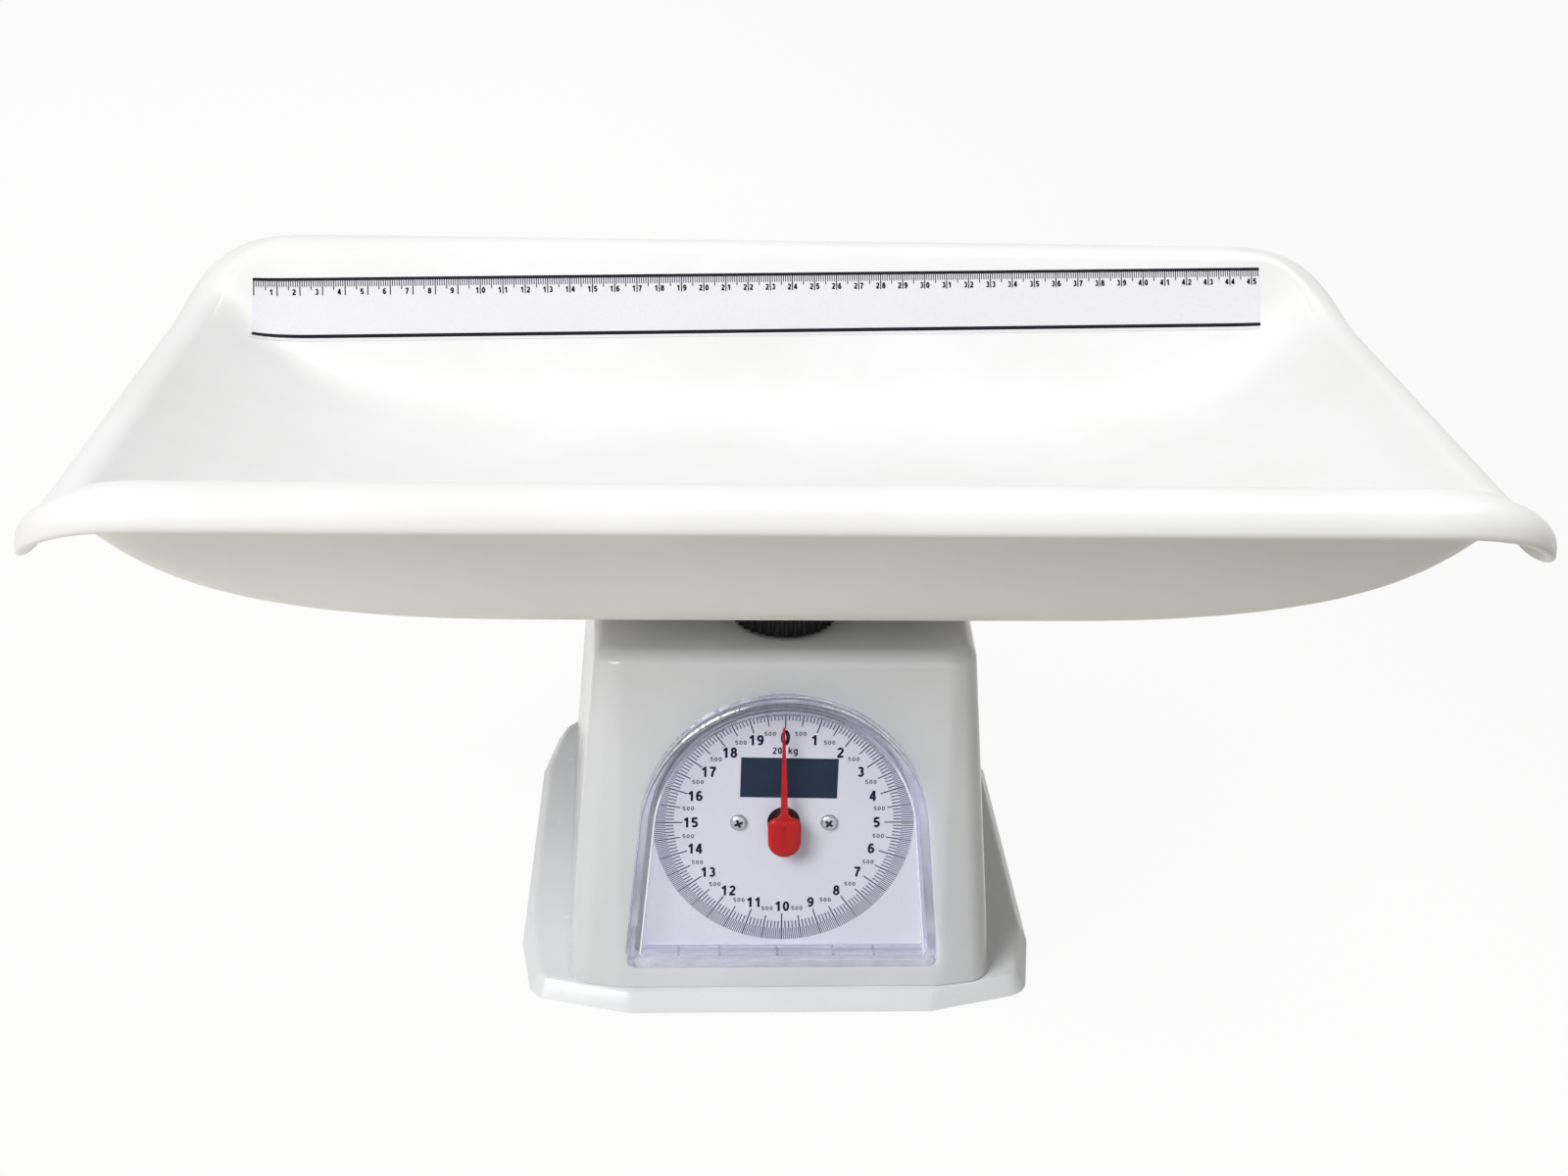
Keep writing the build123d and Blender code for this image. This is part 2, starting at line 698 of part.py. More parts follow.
zero_wheel.part.label = "zero_wheel"
export_step(zero_wheel.part, "parts/zero_wheel.step")

bridge_top = cheek_top_z
with BuildPart() as zero_spindle:
    with BuildSketch(Plane.XY.offset(yoke_top - yoke_height - spindle_radius)):
        with Locations((0, spring_y)):
            Circle(spindle_radius)
    extrude(amount=wheel_top - yoke_top + yoke_height + spindle_radius)
    with BuildSketch(Plane.XY.offset(bridge_top + running_gap)):
        with Locations((0, spring_y)):
            Circle(spindle_collar_radius)
    extrude(amount=spindle_collar_height)
zero_spindle.part.label = "zero_spindle"
export_step(zero_spindle.part, "parts/zero_spindle.step")

with BuildPart() as spindle_clip:
    with BuildSketch(Plane.XY.offset(bridge_top - chassis_sheet - running_gap)):
        with Locations((0, spring_y)):
            Circle(clip_radius)
            Circle(spindle_radius, mode=Mode.SUBTRACT)
    extrude(amount=-clip_thickness)
spindle_clip.part.label = "spindle_clip"
export_step(spindle_clip.part, "parts/spindle_clip.step")


# ---- chassis ----
def face_y(level, depth):
    """Where a plane at a depth behind the housing's face stands at a level."""
    return dial_y + (level - dial_z) * tan(lean) + depth / cos(lean)


cheek_front_z = dial_z - window_drop + window_corner
chassis_screw_spots = [(x, y) for x in (-chassis_screw_x, chassis_screw_x) for y in chassis_screw_y]
with BuildPart() as chassis:
    for side in (1, -1):
        with BuildSketch(Plane.YZ.offset(side * cheek_x)):
            with BuildLine():
                Polyline(
                    (chassis_front_y, plate_top),
                    (face_y(cheek_front_z, backplate_rear), cheek_front_z),
                    (face_y(cheek_top_z, backplate_rear), cheek_top_z),
                    (bridge_back_y, cheek_top_z),
                    (cheek_back_y, upper_pin_z + link_arm_height / 2),
                    (cheek_back_y, plate_top),
                    close=True,
                )
            make_face()
            with Locations(*fixed_pins_at):
                Circle(link_pin_radius, mode=Mode.SUBTRACT)
        extrude(amount=side * chassis_sheet)
    with BuildSketch(Plane.XY.offset(plate_top)):
        with Locations((0, (chassis_front_y + cheek_back_y) / 2)):
            Rectangle(2 * cheek_x, cheek_back_y - chassis_front_y)
        with Locations(*chassis_screw_spots):
            Circle(chassis_screw_radius, mode=Mode.SUBTRACT)
    extrude(amount=chassis_sheet)
    with BuildSketch(Plane.XY.offset(bridge_top)):
        with Locations((0, (bridge_front_y + bridge_back_y) / 2)):
            Rectangle(2 * cheek_x, bridge_back_y - bridge_front_y)
        with Locations((0, spring_y)):
            Circle(spindle_radius + running_gap, mode=Mode.SUBTRACT)
    extrude(amount=-chassis_sheet)
chassis.part.label = "chassis"
export_step(chassis.part, "parts/chassis.step")

with BuildPart() as chassis_screws:
    with BuildSketch(Plane.XY.offset(chassis_floor)):
        with Locations(*chassis_screw_spots):
            Circle(chassis_screw_head_radius)
    extrude(amount=chassis_screw_head_height)
    with BuildSketch(Plane.XY.offset(chassis_floor)):
        with Locations(*chassis_screw_spots):
            Circle(chassis_screw_radius)
    extrude(amount=-chassis_sheet - plate_thickness)
chassis_screws.part.label = "chassis_screws"
export_step(chassis_screws.part, "parts/chassis_screws.step")

stop_top = column_bottom - travel - stop_gap
with BuildPart() as overload_stop:
    with BuildSketch(Plane.XY.offset(chassis_floor)):
        Circle(stop_radius)
    extrude(amount=stop_top - stop_pad_thickness - chassis_floor)
overload_stop.part.label = "overload_stop"
export_step(overload_stop.part, "parts/overload_stop.step")

with BuildPart() as stop_pad:
    with BuildSketch(Plane.XY.offset(stop_top)):
        Circle(stop_radius)
    extrude(amount=-stop_pad_thickness)
stop_pad.part.label = "stop_pad"
export_step(stop_pad.part, "parts/stop_pad.step")


# ---- housing ----
def rounded(corner, before, after, radius, steps):
    """Points that go round a corner of an outline on a radius, in straight steps."""
    arrive = (before - corner).normalized()
    leave = (after - corner).normalized()
    half_angle = radians(arrive.get_angle(leave)) / 2
    centre = corner + (arrive + leave).normalized() * (radius / sin(half_angle))
    start = corner + arrive * (radius / tan(half_angle)) - centre
    end = corner + leave * (radius / tan(half_angle)) - centre
    spokes = [start * (1 - step / steps) + end * (step / steps) for step in range(steps + 1)]
    return [centre + spoke.normalized() * radius for spoke in spokes]


def housing_half(level):
    """Half the width of the housing at a level, at its front."""
    share = (level - housing_bottom) / (housing_top - housing_bottom)
    return housing_half_bottom + share * (housing_half_top - housing_half_bottom)


def housing_back(level):
    share = (level - housing_bottom) / (housing_top - housing_bottom)
    return housing_back_bottom + share * (housing_back_top - housing_back_bottom)


def housing_outline(level, inset):
    """Plan outline of the housing at a level, moved inwards by an inset."""
    half = housing_half(level) - inset
    back = housing_back(level) - inset
    front = face_y(level, 0) + inset
    flat = housing_flat_half - inset
    cheek = front + housing_face_setback
    radius = housing_corner - inset
    points = []
    for side in (1, -1):
        crease = Vector(side * flat, front, level)
        shoulder = Vector(side * half, cheek, level)
        heel = Vector(side * (half + housing_back_flare), back, level)
        run = [crease, *rounded(shoulder, crease, heel, radius, corner_steps)]
        run += rounded(heel, shoulder, Vector(0, back, level), radius, corner_steps)
        points += run if side == 1 else reversed(run)
    return Wire.make_polygon(points)


def housing_body(foot, top, inset):
    """The housing's bulk, drawn in by an inset, with its top edge rounded."""
    edge = housing_top_edge - inset
    rings = [housing_outline(foot, inset)]
    for step in range(edge_steps + 1):
        turn = radians(90 * step / edge_steps)
        rings.append(housing_outline(top - edge * (1 - sin(turn)), inset + edge * (1 - cos(turn))))
    return Solid.make_loft(rings, ruled=True)


def window_outline(grow):
    """The dial window's outline, an arch over straight sides that open downwards, moved outwards."""
    flare = radians(window_flare)
    radius = window_radius + grow
    drop = window_drop + grow
    foot = radius / cos(flare) + drop * tan(flare)
    with BuildSketch() as outline:
        with BuildLine():
            shoulder = (radius * cos(flare), radius * sin(flare))
            ThreePointArc((-shoulder[0], shoulder[1]), (0, radius), shoulder)
            Polyline(shoulder, (foot, -drop), (-foot, -drop), (-shoulder[0], shoulder[1]))
        make_face()
        fillet(outline.vertices().group_by(Axis.Y)[0], radius=window_corner + grow / 2)
    return outline.sketch


def boss_x_at(y):
    """How far out a housing boss stands, so that its top meets the housing's side."""
    top = housing_bottom + housing_boss_height
    cheek = face_y(top, 0) + housing_face_setback
    flare = housing_back_flare * (y - cheek) / (housing_back(top) - cheek)
    return housing_half(top) + flare - housing_wall - housing_boss_radius + housing_boss_bite


housing_screw_spots = [(side * boss_x_at(y), y) for side in (-1, 1) for y in housing_screw_y]
with BuildPart() as housing:
    add(housing_body(housing_bottom, housing_top, 0))
    add(housing_body(housing_bottom - 1, housing_top - housing_wall, housing_wall), mode=Mode.SUBTRACT)
    with BuildSketch(Plane.XY.offset(housing_bottom)):
        with Locations(*housing_screw_spots):
            Circle(housing_boss_radius)
            Circle(housing_screw_radius, mode=Mode.SUBTRACT)
    extrude(amount=housing_boss_height)
    with BuildSketch(Plane.XY.offset(housing_top)):
        RectangleRounded(2 * column_hole_half, 2 * column_hole_half, column_wall)
        with Locations((0, spring_y)):
            Circle(spindle_hole_radius)
    extrude(amount=-2 * housing_wall, mode=Mode.SUBTRACT)
    with BuildSketch(face_plane.offset(-2 * housing_wall)):
        add(window_outline(-opening_inset))
    extrude(amount=4 * housing_wall, mode=Mode.SUBTRACT)
housing.part.label = "housing"
export_step(housing.part, "parts/housing.step")

# ---- dial window ----
rounding = []
for step in range(window_edge_steps + 1):
    turn = radians(90 * step / window_edge_steps)
    rise = window_depth - window_edge * (1 - sin(turn))
    outline = face_plane.offset(rise) * window_outline(window_edge * (cos(turn) - 1))
    rounding.append(outline.wire())
with BuildPart() as dial_window:
    with BuildSketch(face_plane):
        add(window_outline(0))
    extrude(amount=window_depth - window_edge)
    add(Solid.make_loft(rounding, ruled=True))
    with BuildSketch(face_plane):
        add(window_outline(window_flange))
    extrude(amount=window_flange_thickness)
    with BuildSketch(face_plane):
        add(window_outline(-opening_inset - seat_gap))
    extrude(amount=-window_spigot)
    with BuildSketch(face_plane.offset(-window_spigot)):
        add(window_outline(-opening_inset - seat_gap - window_sheet))
    extrude(amount=window_spigot + window_depth - window_sheet, mode=Mode.SUBTRACT)
dial_window.part.label = "dial_window"
export_step(dial_window.part, "parts/dial_window.step")

# ---- dial card, backplate and screws ----
screw_spots = [(-dial_screw_x, 0), (dial_screw_x, 0)]
card_face = face_plane.offset(card_thickness - backplate_depth)
with BuildPart() as dial_card:
    with BuildSketch(card_face):
        add(window_outline(0))
    extrude(amount=-card_thickness)
    with BuildSketch(card_face):
        Circle(pivot_hole_radius)
        with Locations(*screw_spots):
            Circle(dial_screw_radius)
    extrude(amount=-card_thickness, mode=Mode.SUBTRACT)
dial_card.part.label = "dial_card"
export_step(dial_card.part, "parts/dial_card.step")

backplate_face = face_plane.offset(-backplate_depth)
with BuildPart() as dial_backplate:
    with BuildSketch(backplate_face):
        add(window_outline(window_flange))
    extrude(amount=-backplate_thickness)
    with BuildSketch(backplate_face):
        Circle(pivot_hole_radius)
        with Locations(*screw_spots):
            Circle(dial_screw_radius)
    extrude(amount=-backplate_thickness, mode=Mode.SUBTRACT)
dial_backplate.part.label = "dial_backplate"
export_step(dial_backplate.part, "parts/dial_backplate.step")

with BuildPart() as dial_screws:
    with BuildSketch(card_face):
        with Locations(*screw_spots):
            Circle(dial_screw_head_radius)
    extrude(amount=dial_screw_head_height)
    chamfer(dial_screws.edges().group_by(face_axis)[-1], length=dial_screw_radius / 2)
    with BuildSketch(card_face):
        with Locations(*screw_spots):
            Circle(dial_screw_radius)
    extrude(amount=-(movement_front + movement_sheet - backplate_depth + card_thickness))
dial_screws.part.label = "dial_screws"
export_step(dial_screws.part, "parts/dial_screws.step")

# ---- pointer movement ----
with BuildPart() as movement_frame:
    with BuildSketch(face_plane.offset(-movement_front)):
        Rectangle(2 * movement_half, movement_height)
    extrude(amount=movement_front - movement_back - movement_sheet)
    with BuildSketch(face_plane.offset(-movement_front - movement_sheet)):
        Rectangle(2 * (movement_half - movement_sheet), movement_height)
    extrude(amount=movement_front + movement_sheet - movement_back, mode=Mode.SUBTRACT)
    with BuildSketch(face_plane.offset(-movement_front)):
        with Locations(*screw_spots):
            Circle(dial_screw_radius)
    extrude(amount=-movement_sheet, mode=Mode.SUBTRACT)
    with BuildSketch(face_plane.offset(-movement_front)):
        Circle(bush_radius)
    extrude(amount=movement_front - movement_back - movement_sheet, mode=Mode.SUBTRACT)
movement_frame.part.label = "movement_frame"
export_step(movement_frame.part, "parts/movement_frame.step")

with BuildPart() as shaft_bushes:
    for depth, flange in ((movement_front, -movement_sheet), (movement_back, 0)):
        with BuildSketch(face_plane.offset(-depth)):
            Circle(bush_radius)
            Circle(shaft_radius + running_gap, mode=Mode.SUBTRACT)
        extrude(amount=-movement_sheet)
        with BuildSketch(face_plane.offset(-depth + flange)):
            Circle(bush_flange_radius)
            Circle(shaft_radius + running_gap, mode=Mode.SUBTRACT)
        extrude(amount=bush_flange if flange == 0 else -bush_flange)
shaft_bushes.part.label = "shaft_bushes"
export_step(shaft_bushes.part, "parts/shaft_bushes.step")

with BuildPart() as pinion_shaft:
    with BuildSketch(face_plane.offset(shaft_front)):
        Circle(shaft_radius)
    extrude(amount=-shaft_front - shaft_back)
pinion_shaft.part.label = "pinion_shaft"
export_step(pinion_shaft.part, "parts/pinion_shaft.step")

# half thicknesses of a tooth at its tip, pitch line and root
tooth_half = (tooth_pitch / 2 - tooth_backlash) / 2
tip_half = tooth_half - tooth_addendum * tan(radians(pressure_angle))
root_half = tooth_half + tooth_root * tan(radians(pressure_angle))
with BuildPart() as pinion:
    with BuildSketch(face_plane.offset(-pinion_front)):
        Circle(pinion_radius - tooth_root)
        with PolarLocations(0, pinion_teeth):
            with BuildLine():
                Polyline(
                    (0, root_half),
                    (pinion_radius - tooth_root, root_half),
                    (pinion_radius, tooth_half),
                    (pinion_radius + tooth_addendum, tip_half),
                    (pinion_radius + tooth_addendum, -tip_half),
                    (pinion_radius, -tooth_half),
                    (pinion_radius - tooth_root, -root_half),
                    (0, -root_half),
                    close=True,
                )
            make_face()
        Circle(shaft_radius, mode=Mode.SUBTRACT)
    extrude(amount=pinion_front - pinion_back)
pinion.part.label = "pinion"
export_step(pinion.part, "parts/pinion.step")

rack_root = pinion_radius + tooth_root
rack_tip = pinion_radius - tooth_addendum
with BuildPart() as rack:
    with BuildSketch(face_plane.offset(-rack_front)):
        with BuildLine():
            outline = [(rack_root, -rack_foot_drop - rack_thickness)]
            for tooth in range(-rack_teeth_below, rack_teeth_above):
                middle = (tooth + 0.5) * tooth_pitch
                outline.append((rack_root, middle - root_half))
                outline.append((rack_tip, middle - tip_half))
                outline.append((rack_tip, middle + tip_half))
                outline.append((rack_root, middle + root_half))
            outline.append((rack_root, (rack_teeth_above + 1) * tooth_pitch))
            outline.append((rack_root + rack_thickness, (rack_teeth_above + 1) * tooth_pitch))
            outline.append((rack_root + rack_thickness, -rack_foot_drop - rack_thickness))
            Polyline(*outline, close=True)
        make_face()
    extrude(amount=rack_front - rack_back)
    split(bisect_by=Plane.XY.offset(arm_top))
    with Locations((rack_screw_x, rack_screw_y, arm_top)):
        Hole(rack_screw_radius, depth=rack_thickness)
rack.part.label = "rack"
export_step(rack.part, "parts/rack.step")

with BuildPart() as rack_screw:
    with BuildSketch(Plane.XY.offset(arm_bottom)):
        with Locations((rack_screw_x, rack_screw_y)):
            Circle(rack_screw_head_radius)
    extrude(amount=-rack_screw_head_height)
    with BuildSketch(Plane.XY.offset(arm_bottom)):
        with Locations((rack_screw_x, rack_screw_y)):
            Circle(rack_screw_radius)
    extrude(amount=arm_thickness + rack_thickness)
rack_screw.part.label = "rack_screw"
export_step(rack_screw.part, "parts/rack_screw.step")

# ---- pointer ----
with BuildPart() as pointer:
    with BuildSketch(face_plane.offset(pointer_level)):
        with BuildLine():
            tail_foot = tail_half - tail_length
            Polyline(
                (-tail_half, tail_foot),
                (-tail_half, 0),
                (-needle_root, tail_rise + needle_root),
                (-needle_tip, needle_length),
                (needle_tip, needle_length),
                (needle_root, tail_rise + needle_root),
                (tail_half, 0),
                (tail_half, tail_foot),
            )
            ThreePointArc((tail_half, tail_foot), (0, -tail_length), (-tail_half, tail_foot))
        make_face()
        Circle(shaft_radius, mode=Mode.SUBTRACT)
    extrude(amount=pointer_thickness)
pointer.part.label = "pointer"
export_step(pointer.part, "parts/pointer.step")

with BuildPart() as pointer_hub:
    with BuildSketch(face_plane.offset(pointer_level)):
        Circle(hub_radius)
        Circle(shaft_radius, mode=Mode.SUBTRACT)
    extrude(amount=-hub_length)
pointer_hub.part.label = "pointer_hub"
export_step(pointer_hub.part, "parts/pointer_hub.step")


# ---- plinth ----
def plinth_outline(level, inset):
    """Plan outline of the plinth, moved inwards by an inset."""
    front = plinth_front_y + inset
    back = plinth_back_y - inset
    cheek_x = plinth_half_x - plinth_cheek_in - inset
    half = [
        (plinth_front_half, front),
        (cheek_x, front + plinth_cheek_front),
        (plinth_half_x - inset, front + plinth_cheek_front + plinth_taper),
        (plinth_half_x - inset, back - plinth_cheek_back - plinth_taper),
        (cheek_x, back - plinth_cheek_back),
        (plinth_back_half, back),
    ]
    corners = [Vector(x, y, level) for x, y in half + [(-x, y) for x, y in reversed(half)]]
    points = []
    for index, corner in enumerate(corners):
        after = corners[(index + 1) % len(corners)]
        points += rounded(corner, corners[index - 1], after, plinth_corner - inset, plinth_corner_steps)
    return Wire.make_polygon(points)


def plinth_slope(level):
    """How far the plinth's side has come in at a level."""
    return plinth_skirt * (level - plinth_bottom) / (ledge_top - plinth_bottom)


ledge_x = housing_half_bottom - ledge_reach
ledge_front = housing_front + ledge_reach
ledge_back = housing_back_bottom - ledge_reach
skirt_turn = atan(plinth_skirt / (ledge_top - plinth_bottom))
plinth_rings = [plinth_outline(plinth_bottom, 0)]
for step in range(plinth_edge_steps + 1):
    turn = skirt_turn + (pi / 2 - skirt_turn) * step / plinth_edge_steps
    level = ledge_top - plinth_edge * (1 - sin(turn))
    plinth_rings.append(plinth_outline(level, plinth_skirt - plinth_edge * cos(turn)))
hollow_rings = []
for level in (plinth_bottom, ledge_bottom):
    hollow_rings.append(plinth_outline(level, plinth_slope(level) + plinth_wall))
with BuildPart() as plinth:
    add(Solid.make_loft(plinth_rings, ruled=True))
    add(Solid.make_loft(hollow_rings, ruled=True), mode=Mode.SUBTRACT)
    with BuildSketch(Plane.XY.offset(ledge_bottom)):
        with Locations((0, (ledge_front + ledge_back) / 2)):
            RectangleRounded(2 * ledge_x, ledge_back - ledge_front, housing_corner)
        with Locations(*housing_screw_spots):
            Circle(housing_screw_radius + seat_gap)
        with Locations(*foot_spots):
            Circle(foot_screw_radius)
    extrude(amount=plinth_wall, mode=Mode.SUBTRACT)
plinth.part.label = "plinth"
export_step(plinth.part, "parts/plinth.step")

with BuildPart() as bottom_plate:
    plate_inset = plinth_slope(plate_top) + plinth_wall + plate_gap
    extrude(Face(plinth_outline(plate_bottom, plate_inset)), amount=plate_thickness)
    with BuildSketch(Plane.XY.offset(plate_bottom)):
        with Locations(*housing_screw_spots):
            Circle(housing_screw_radius + seat_gap)
        with Locations(*foot_spots):
            Circle(foot_screw_radius + seat_gap)
        with Locations(*chassis_screw_spots):
            Circle(chassis_screw_radius)
    extrude(amount=plate_thickness, mode=Mode.SUBTRACT)
bottom_plate.part.label = "bottom_plate"
export_step(bottom_plate.part, "parts/bottom_plate.step")

with BuildPart() as rubber_feet:
    with BuildSketch():
        with Locations(*foot_spots):
            Circle(foot_radius)
    extrude(amount=plate_bottom)
    with BuildSketch():
        with Locations(*foot_spots):
            Circle(foot_screw_head_radius + seat_gap)
    extrude(amount=foot_screw_recess + foot_screw_head_height, mode=Mode.SUBTRACT)
    with BuildSketch():
        with Locations(*foot_spots):
            Circle(foot_screw_radius + seat_gap)
    extrude(amount=plate_bottom, mode=Mode.SUBTRACT)
rubber_feet.part.label = "rubber_feet"
export_step(rubber_feet.part, "parts/rubber_feet.step")

foot_screw_top = foot_screw_recess + foot_screw_head_height
with BuildPart() as foot_screws:
    with BuildSketch(Plane.XY.offset(foot_screw_recess)):
        with Locations(*foot_spots):
            Circle(foot_screw_head_radius)
    extrude(amount=foot_screw_head_height)
    with BuildSketch(Plane.XY.offset(foot_screw_top)):
        with Locations(*foot_spots):
            Circle(foot_screw_radius)
    extrude(amount=ledge_top - seat_gap - foot_screw_top)
foot_screws.part.label = "foot_screws"
export_step(foot_screws.part, "parts/foot_screws.step")

with BuildPart() as housing_screws:
    with BuildSketch(Plane.XY.offset(plate_bottom)):
        with Locations(*housing_screw_spots):
            Circle(housing_screw_head_radius)
    extrude(amount=-housing_screw_head_height)
    with BuildSketch(Plane.XY.offset(plate_bottom)):
        with Locations(*housing_screw_spots):
            Circle(housing_screw_radius)
    extrude(amount=housing_bottom + housing_screw_bite - plate_bottom)
housing_screws.part.label = "housing_screws"
export_step(housing_screws.part, "parts/housing_screws.step")
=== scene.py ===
import json
import math

import bmesh
import bpy
from mathutils import Matrix, Vector
from mathutils.bvhtree import BVHTree


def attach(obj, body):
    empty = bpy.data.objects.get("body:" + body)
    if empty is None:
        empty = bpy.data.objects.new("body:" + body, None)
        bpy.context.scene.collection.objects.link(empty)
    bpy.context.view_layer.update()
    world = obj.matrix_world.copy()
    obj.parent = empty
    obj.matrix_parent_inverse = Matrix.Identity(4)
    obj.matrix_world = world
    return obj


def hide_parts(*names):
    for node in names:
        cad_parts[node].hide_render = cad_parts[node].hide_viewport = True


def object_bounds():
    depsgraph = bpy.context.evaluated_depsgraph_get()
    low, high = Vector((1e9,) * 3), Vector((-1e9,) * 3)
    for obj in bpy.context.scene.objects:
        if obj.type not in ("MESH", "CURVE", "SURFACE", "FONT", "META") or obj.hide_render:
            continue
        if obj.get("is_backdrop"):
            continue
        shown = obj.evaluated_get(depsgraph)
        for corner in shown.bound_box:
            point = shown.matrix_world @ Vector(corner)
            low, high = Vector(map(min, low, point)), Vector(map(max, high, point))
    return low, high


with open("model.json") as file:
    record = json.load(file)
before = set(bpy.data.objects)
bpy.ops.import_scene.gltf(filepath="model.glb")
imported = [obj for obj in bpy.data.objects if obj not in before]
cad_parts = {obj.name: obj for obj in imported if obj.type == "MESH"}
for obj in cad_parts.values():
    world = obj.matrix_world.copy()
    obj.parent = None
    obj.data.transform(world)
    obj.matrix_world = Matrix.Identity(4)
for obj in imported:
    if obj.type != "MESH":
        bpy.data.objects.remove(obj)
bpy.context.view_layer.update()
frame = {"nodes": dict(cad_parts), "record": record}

mm = 0.001  # every size below is in millimetres, the scene is in metres
weld = 0.001 * mm  # points nearer than this are one
flatTurn = 1e-4  # a corner that turns less than this, in radians, stays a point
sharpAngle = 35  # edges that fold more than this, in degrees, stay sharp
overCut = 1.0  # a cutter reaches this far past the faces that it opens
print("frame loaded:", len(frame["nodes"]), "CAD nodes")

# Small helpers for nodes and meshes


def linear(hexColour):  # sRGB hex to the linear colour the shaders work in
    channels = [int(hexColour[i:i + 2], 16) / 255 for i in (1, 3, 5)]
    return tuple(c / 12.92 if c <= 0.04045 else ((c + 0.055) / 1.055) ** 2.4 for c in channels) + (1.0,)


def addNode(tree, kind, settings=None, links=None):  # one node with its settings, and what feeds its sockets
    node = tree.nodes.new(kind)
    for name, value in (settings or {}).items():
        if isinstance(name, str) and hasattr(node, name):
            setattr(node, name, value)
        else:
            node.inputs[name].default_value = value
    for name, source in (links or {}).items():
        tree.links.new(source, node.inputs[name])
    return node


def startMaterial(name):  # a material, its tree, and the place on the piece that its patterns read
    material = bpy.data.materials.new(name)
    material.use_nodes = True
    tree = material.node_tree
    tree.nodes.clear()
    return material, tree, addNode(tree, "ShaderNodeTexCoord").outputs["Object"]


def perMetre(size):  # texture scale for a pattern of a real size in millimetres
    return 1 / (size * mm)


def quarterTurn(steps):  # angles from nothing to a right angle
    return [math.pi / 2 * step / steps for step in range(steps + 1)]


def roundOver(radius, steps):  # a quarter round over an edge: how far in, and how far down
    return [(radius * (1 - math.cos(turn)), radius * (1 - math.sin(turn))) for turn in quarterTurn(steps)]


def rounded(corner, before, after, radius, steps):  # points round a corner of an outline
    arrive = (before - corner).normalized()
    leave = (after - corner).normalized()
    halfAngle = arrive.angle(leave) / 2
    centre = corner + (arrive + leave).normalized() * (radius / math.sin(halfAngle))
    start = corner + arrive * (radius / math.tan(halfAngle)) - centre
    end = corner + leave * (radius / math.tan(halfAngle)) - centre
    if start.angle(end) < flatTurn:
        return [corner.copy() for _ in range(steps + 1)]
    return [centre + start.slerp(end, step / steps) * radius for step in range(steps + 1)]


def roundedRuns(corners, radii, steps):  # every corner of a closed outline rounded, one run of points each
    return [rounded(corner, corners[i - 1], corners[(i + 1) % len(corners)], radii[i], steps[i])
            for i, corner in enumerate(corners)]


def supported(runs, reach):  # rounded corners joined to an outline, with points on its flats near each corner
    points = []
    for index, run in enumerate(runs):
        following = runs[(index + 1) % len(runs)]
        flat = following[0] - run[-1]
        along = flat.normalized() * min(reach, flat.length / 3)
        points += [*run, run[-1] + along, following[0] - along]
    return points


def circle(radius, level, middle=(0.0, 0.0), steps=32):
    turns = [math.tau * i / steps for i in range(steps)]
    return [Vector((middle[0] + radius * math.cos(turn), middle[1] + radius * math.sin(turn), level))
            for turn in turns]


def turned(profile, middle=(0.0, 0.0), steps=32):  # rings of a turned shape from its radii and levels
    return [circle(radius, level, middle, steps) for radius, level in profile]


def scaled(rings):
    return [[point * mm for point in ring] for ring in rings]


def section(across, along):  # the four corners of a small rectangle, from its limits
    (near, far), (low, high) = across, along
    return (near, low), (far, low), (far, high), (near, high)


fourCorners = section((-1, 1), (-1, 1))


def loft(rings, caps=True):  # faces between closed rings that have equally many points
    count = len(rings[0])
    points = [point for ring in rings for point in ring]
    faces = []
    for level in range(len(rings) - 1):
        for i in range(count):
            j = (i + 1) % count
            low, high = level * count, (level + 1) * count
            faces.append((low + i, low + j, high + j, high + i))
    if caps:
        faces += [tuple(reversed(range(count))), tuple(range(len(points) - count, len(points)))]
    return points, faces


def closedLoft(rings):  # a loft whose last ring meets its first
    points, faces = loft(rings, caps=False)
    count, last = len(rings[0]), len(points) - len(rings[0])
    faces += [(last + i, last + (i + 1) % count, (i + 1) % count, i) for i in range(count)]
    return points, faces


def joined(parts):  # several closed shells as one list of points and faces
    points, faces = [], []
    for morePoints, moreFaces in parts:
        faces += [tuple(i + len(points) for i in corners) for corners in moreFaces]
        points += morePoints
    return points, faces


def softShade(mesh, sharp):
    mesh.polygons.foreach_set("use_smooth", [True] * len(mesh.polygons))
    mesh.set_sharp_from_angle(angle=math.radians(sharp))
    mesh.update()


def makePiece(name, points, faces, material, sharp=sharpAngle, repair=True):
    mesh = bpy.data.meshes.new(name)
    mesh.from_pydata([tuple(point) for point in points], [], faces)
    if repair:
        edit = bmesh.new()
        edit.from_mesh(mesh)
        bmesh.ops.remove_doubles(edit, verts=edit.verts, dist=weld)
        bmesh.ops.recalc_face_normals(edit, faces=edit.faces)
        if edit.calc_volume(signed=True) < 0:
            bmesh.ops.reverse_faces(edit, faces=edit.faces)
        edit.to_mesh(mesh)
        edit.free()
    mesh.materials.append(material)
    piece = bpy.data.objects.new(name, mesh)
    bpy.context.scene.collection.objects.link(piece)
    softShade(mesh, sharp)
    return piece


def evaluatedMesh(piece):  # the plain mesh that a piece's modifiers make
    bpy.context.view_layer.update()
    return bpy.data.meshes.new_from_object(piece.evaluated_get(bpy.context.evaluated_depsgraph_get()))


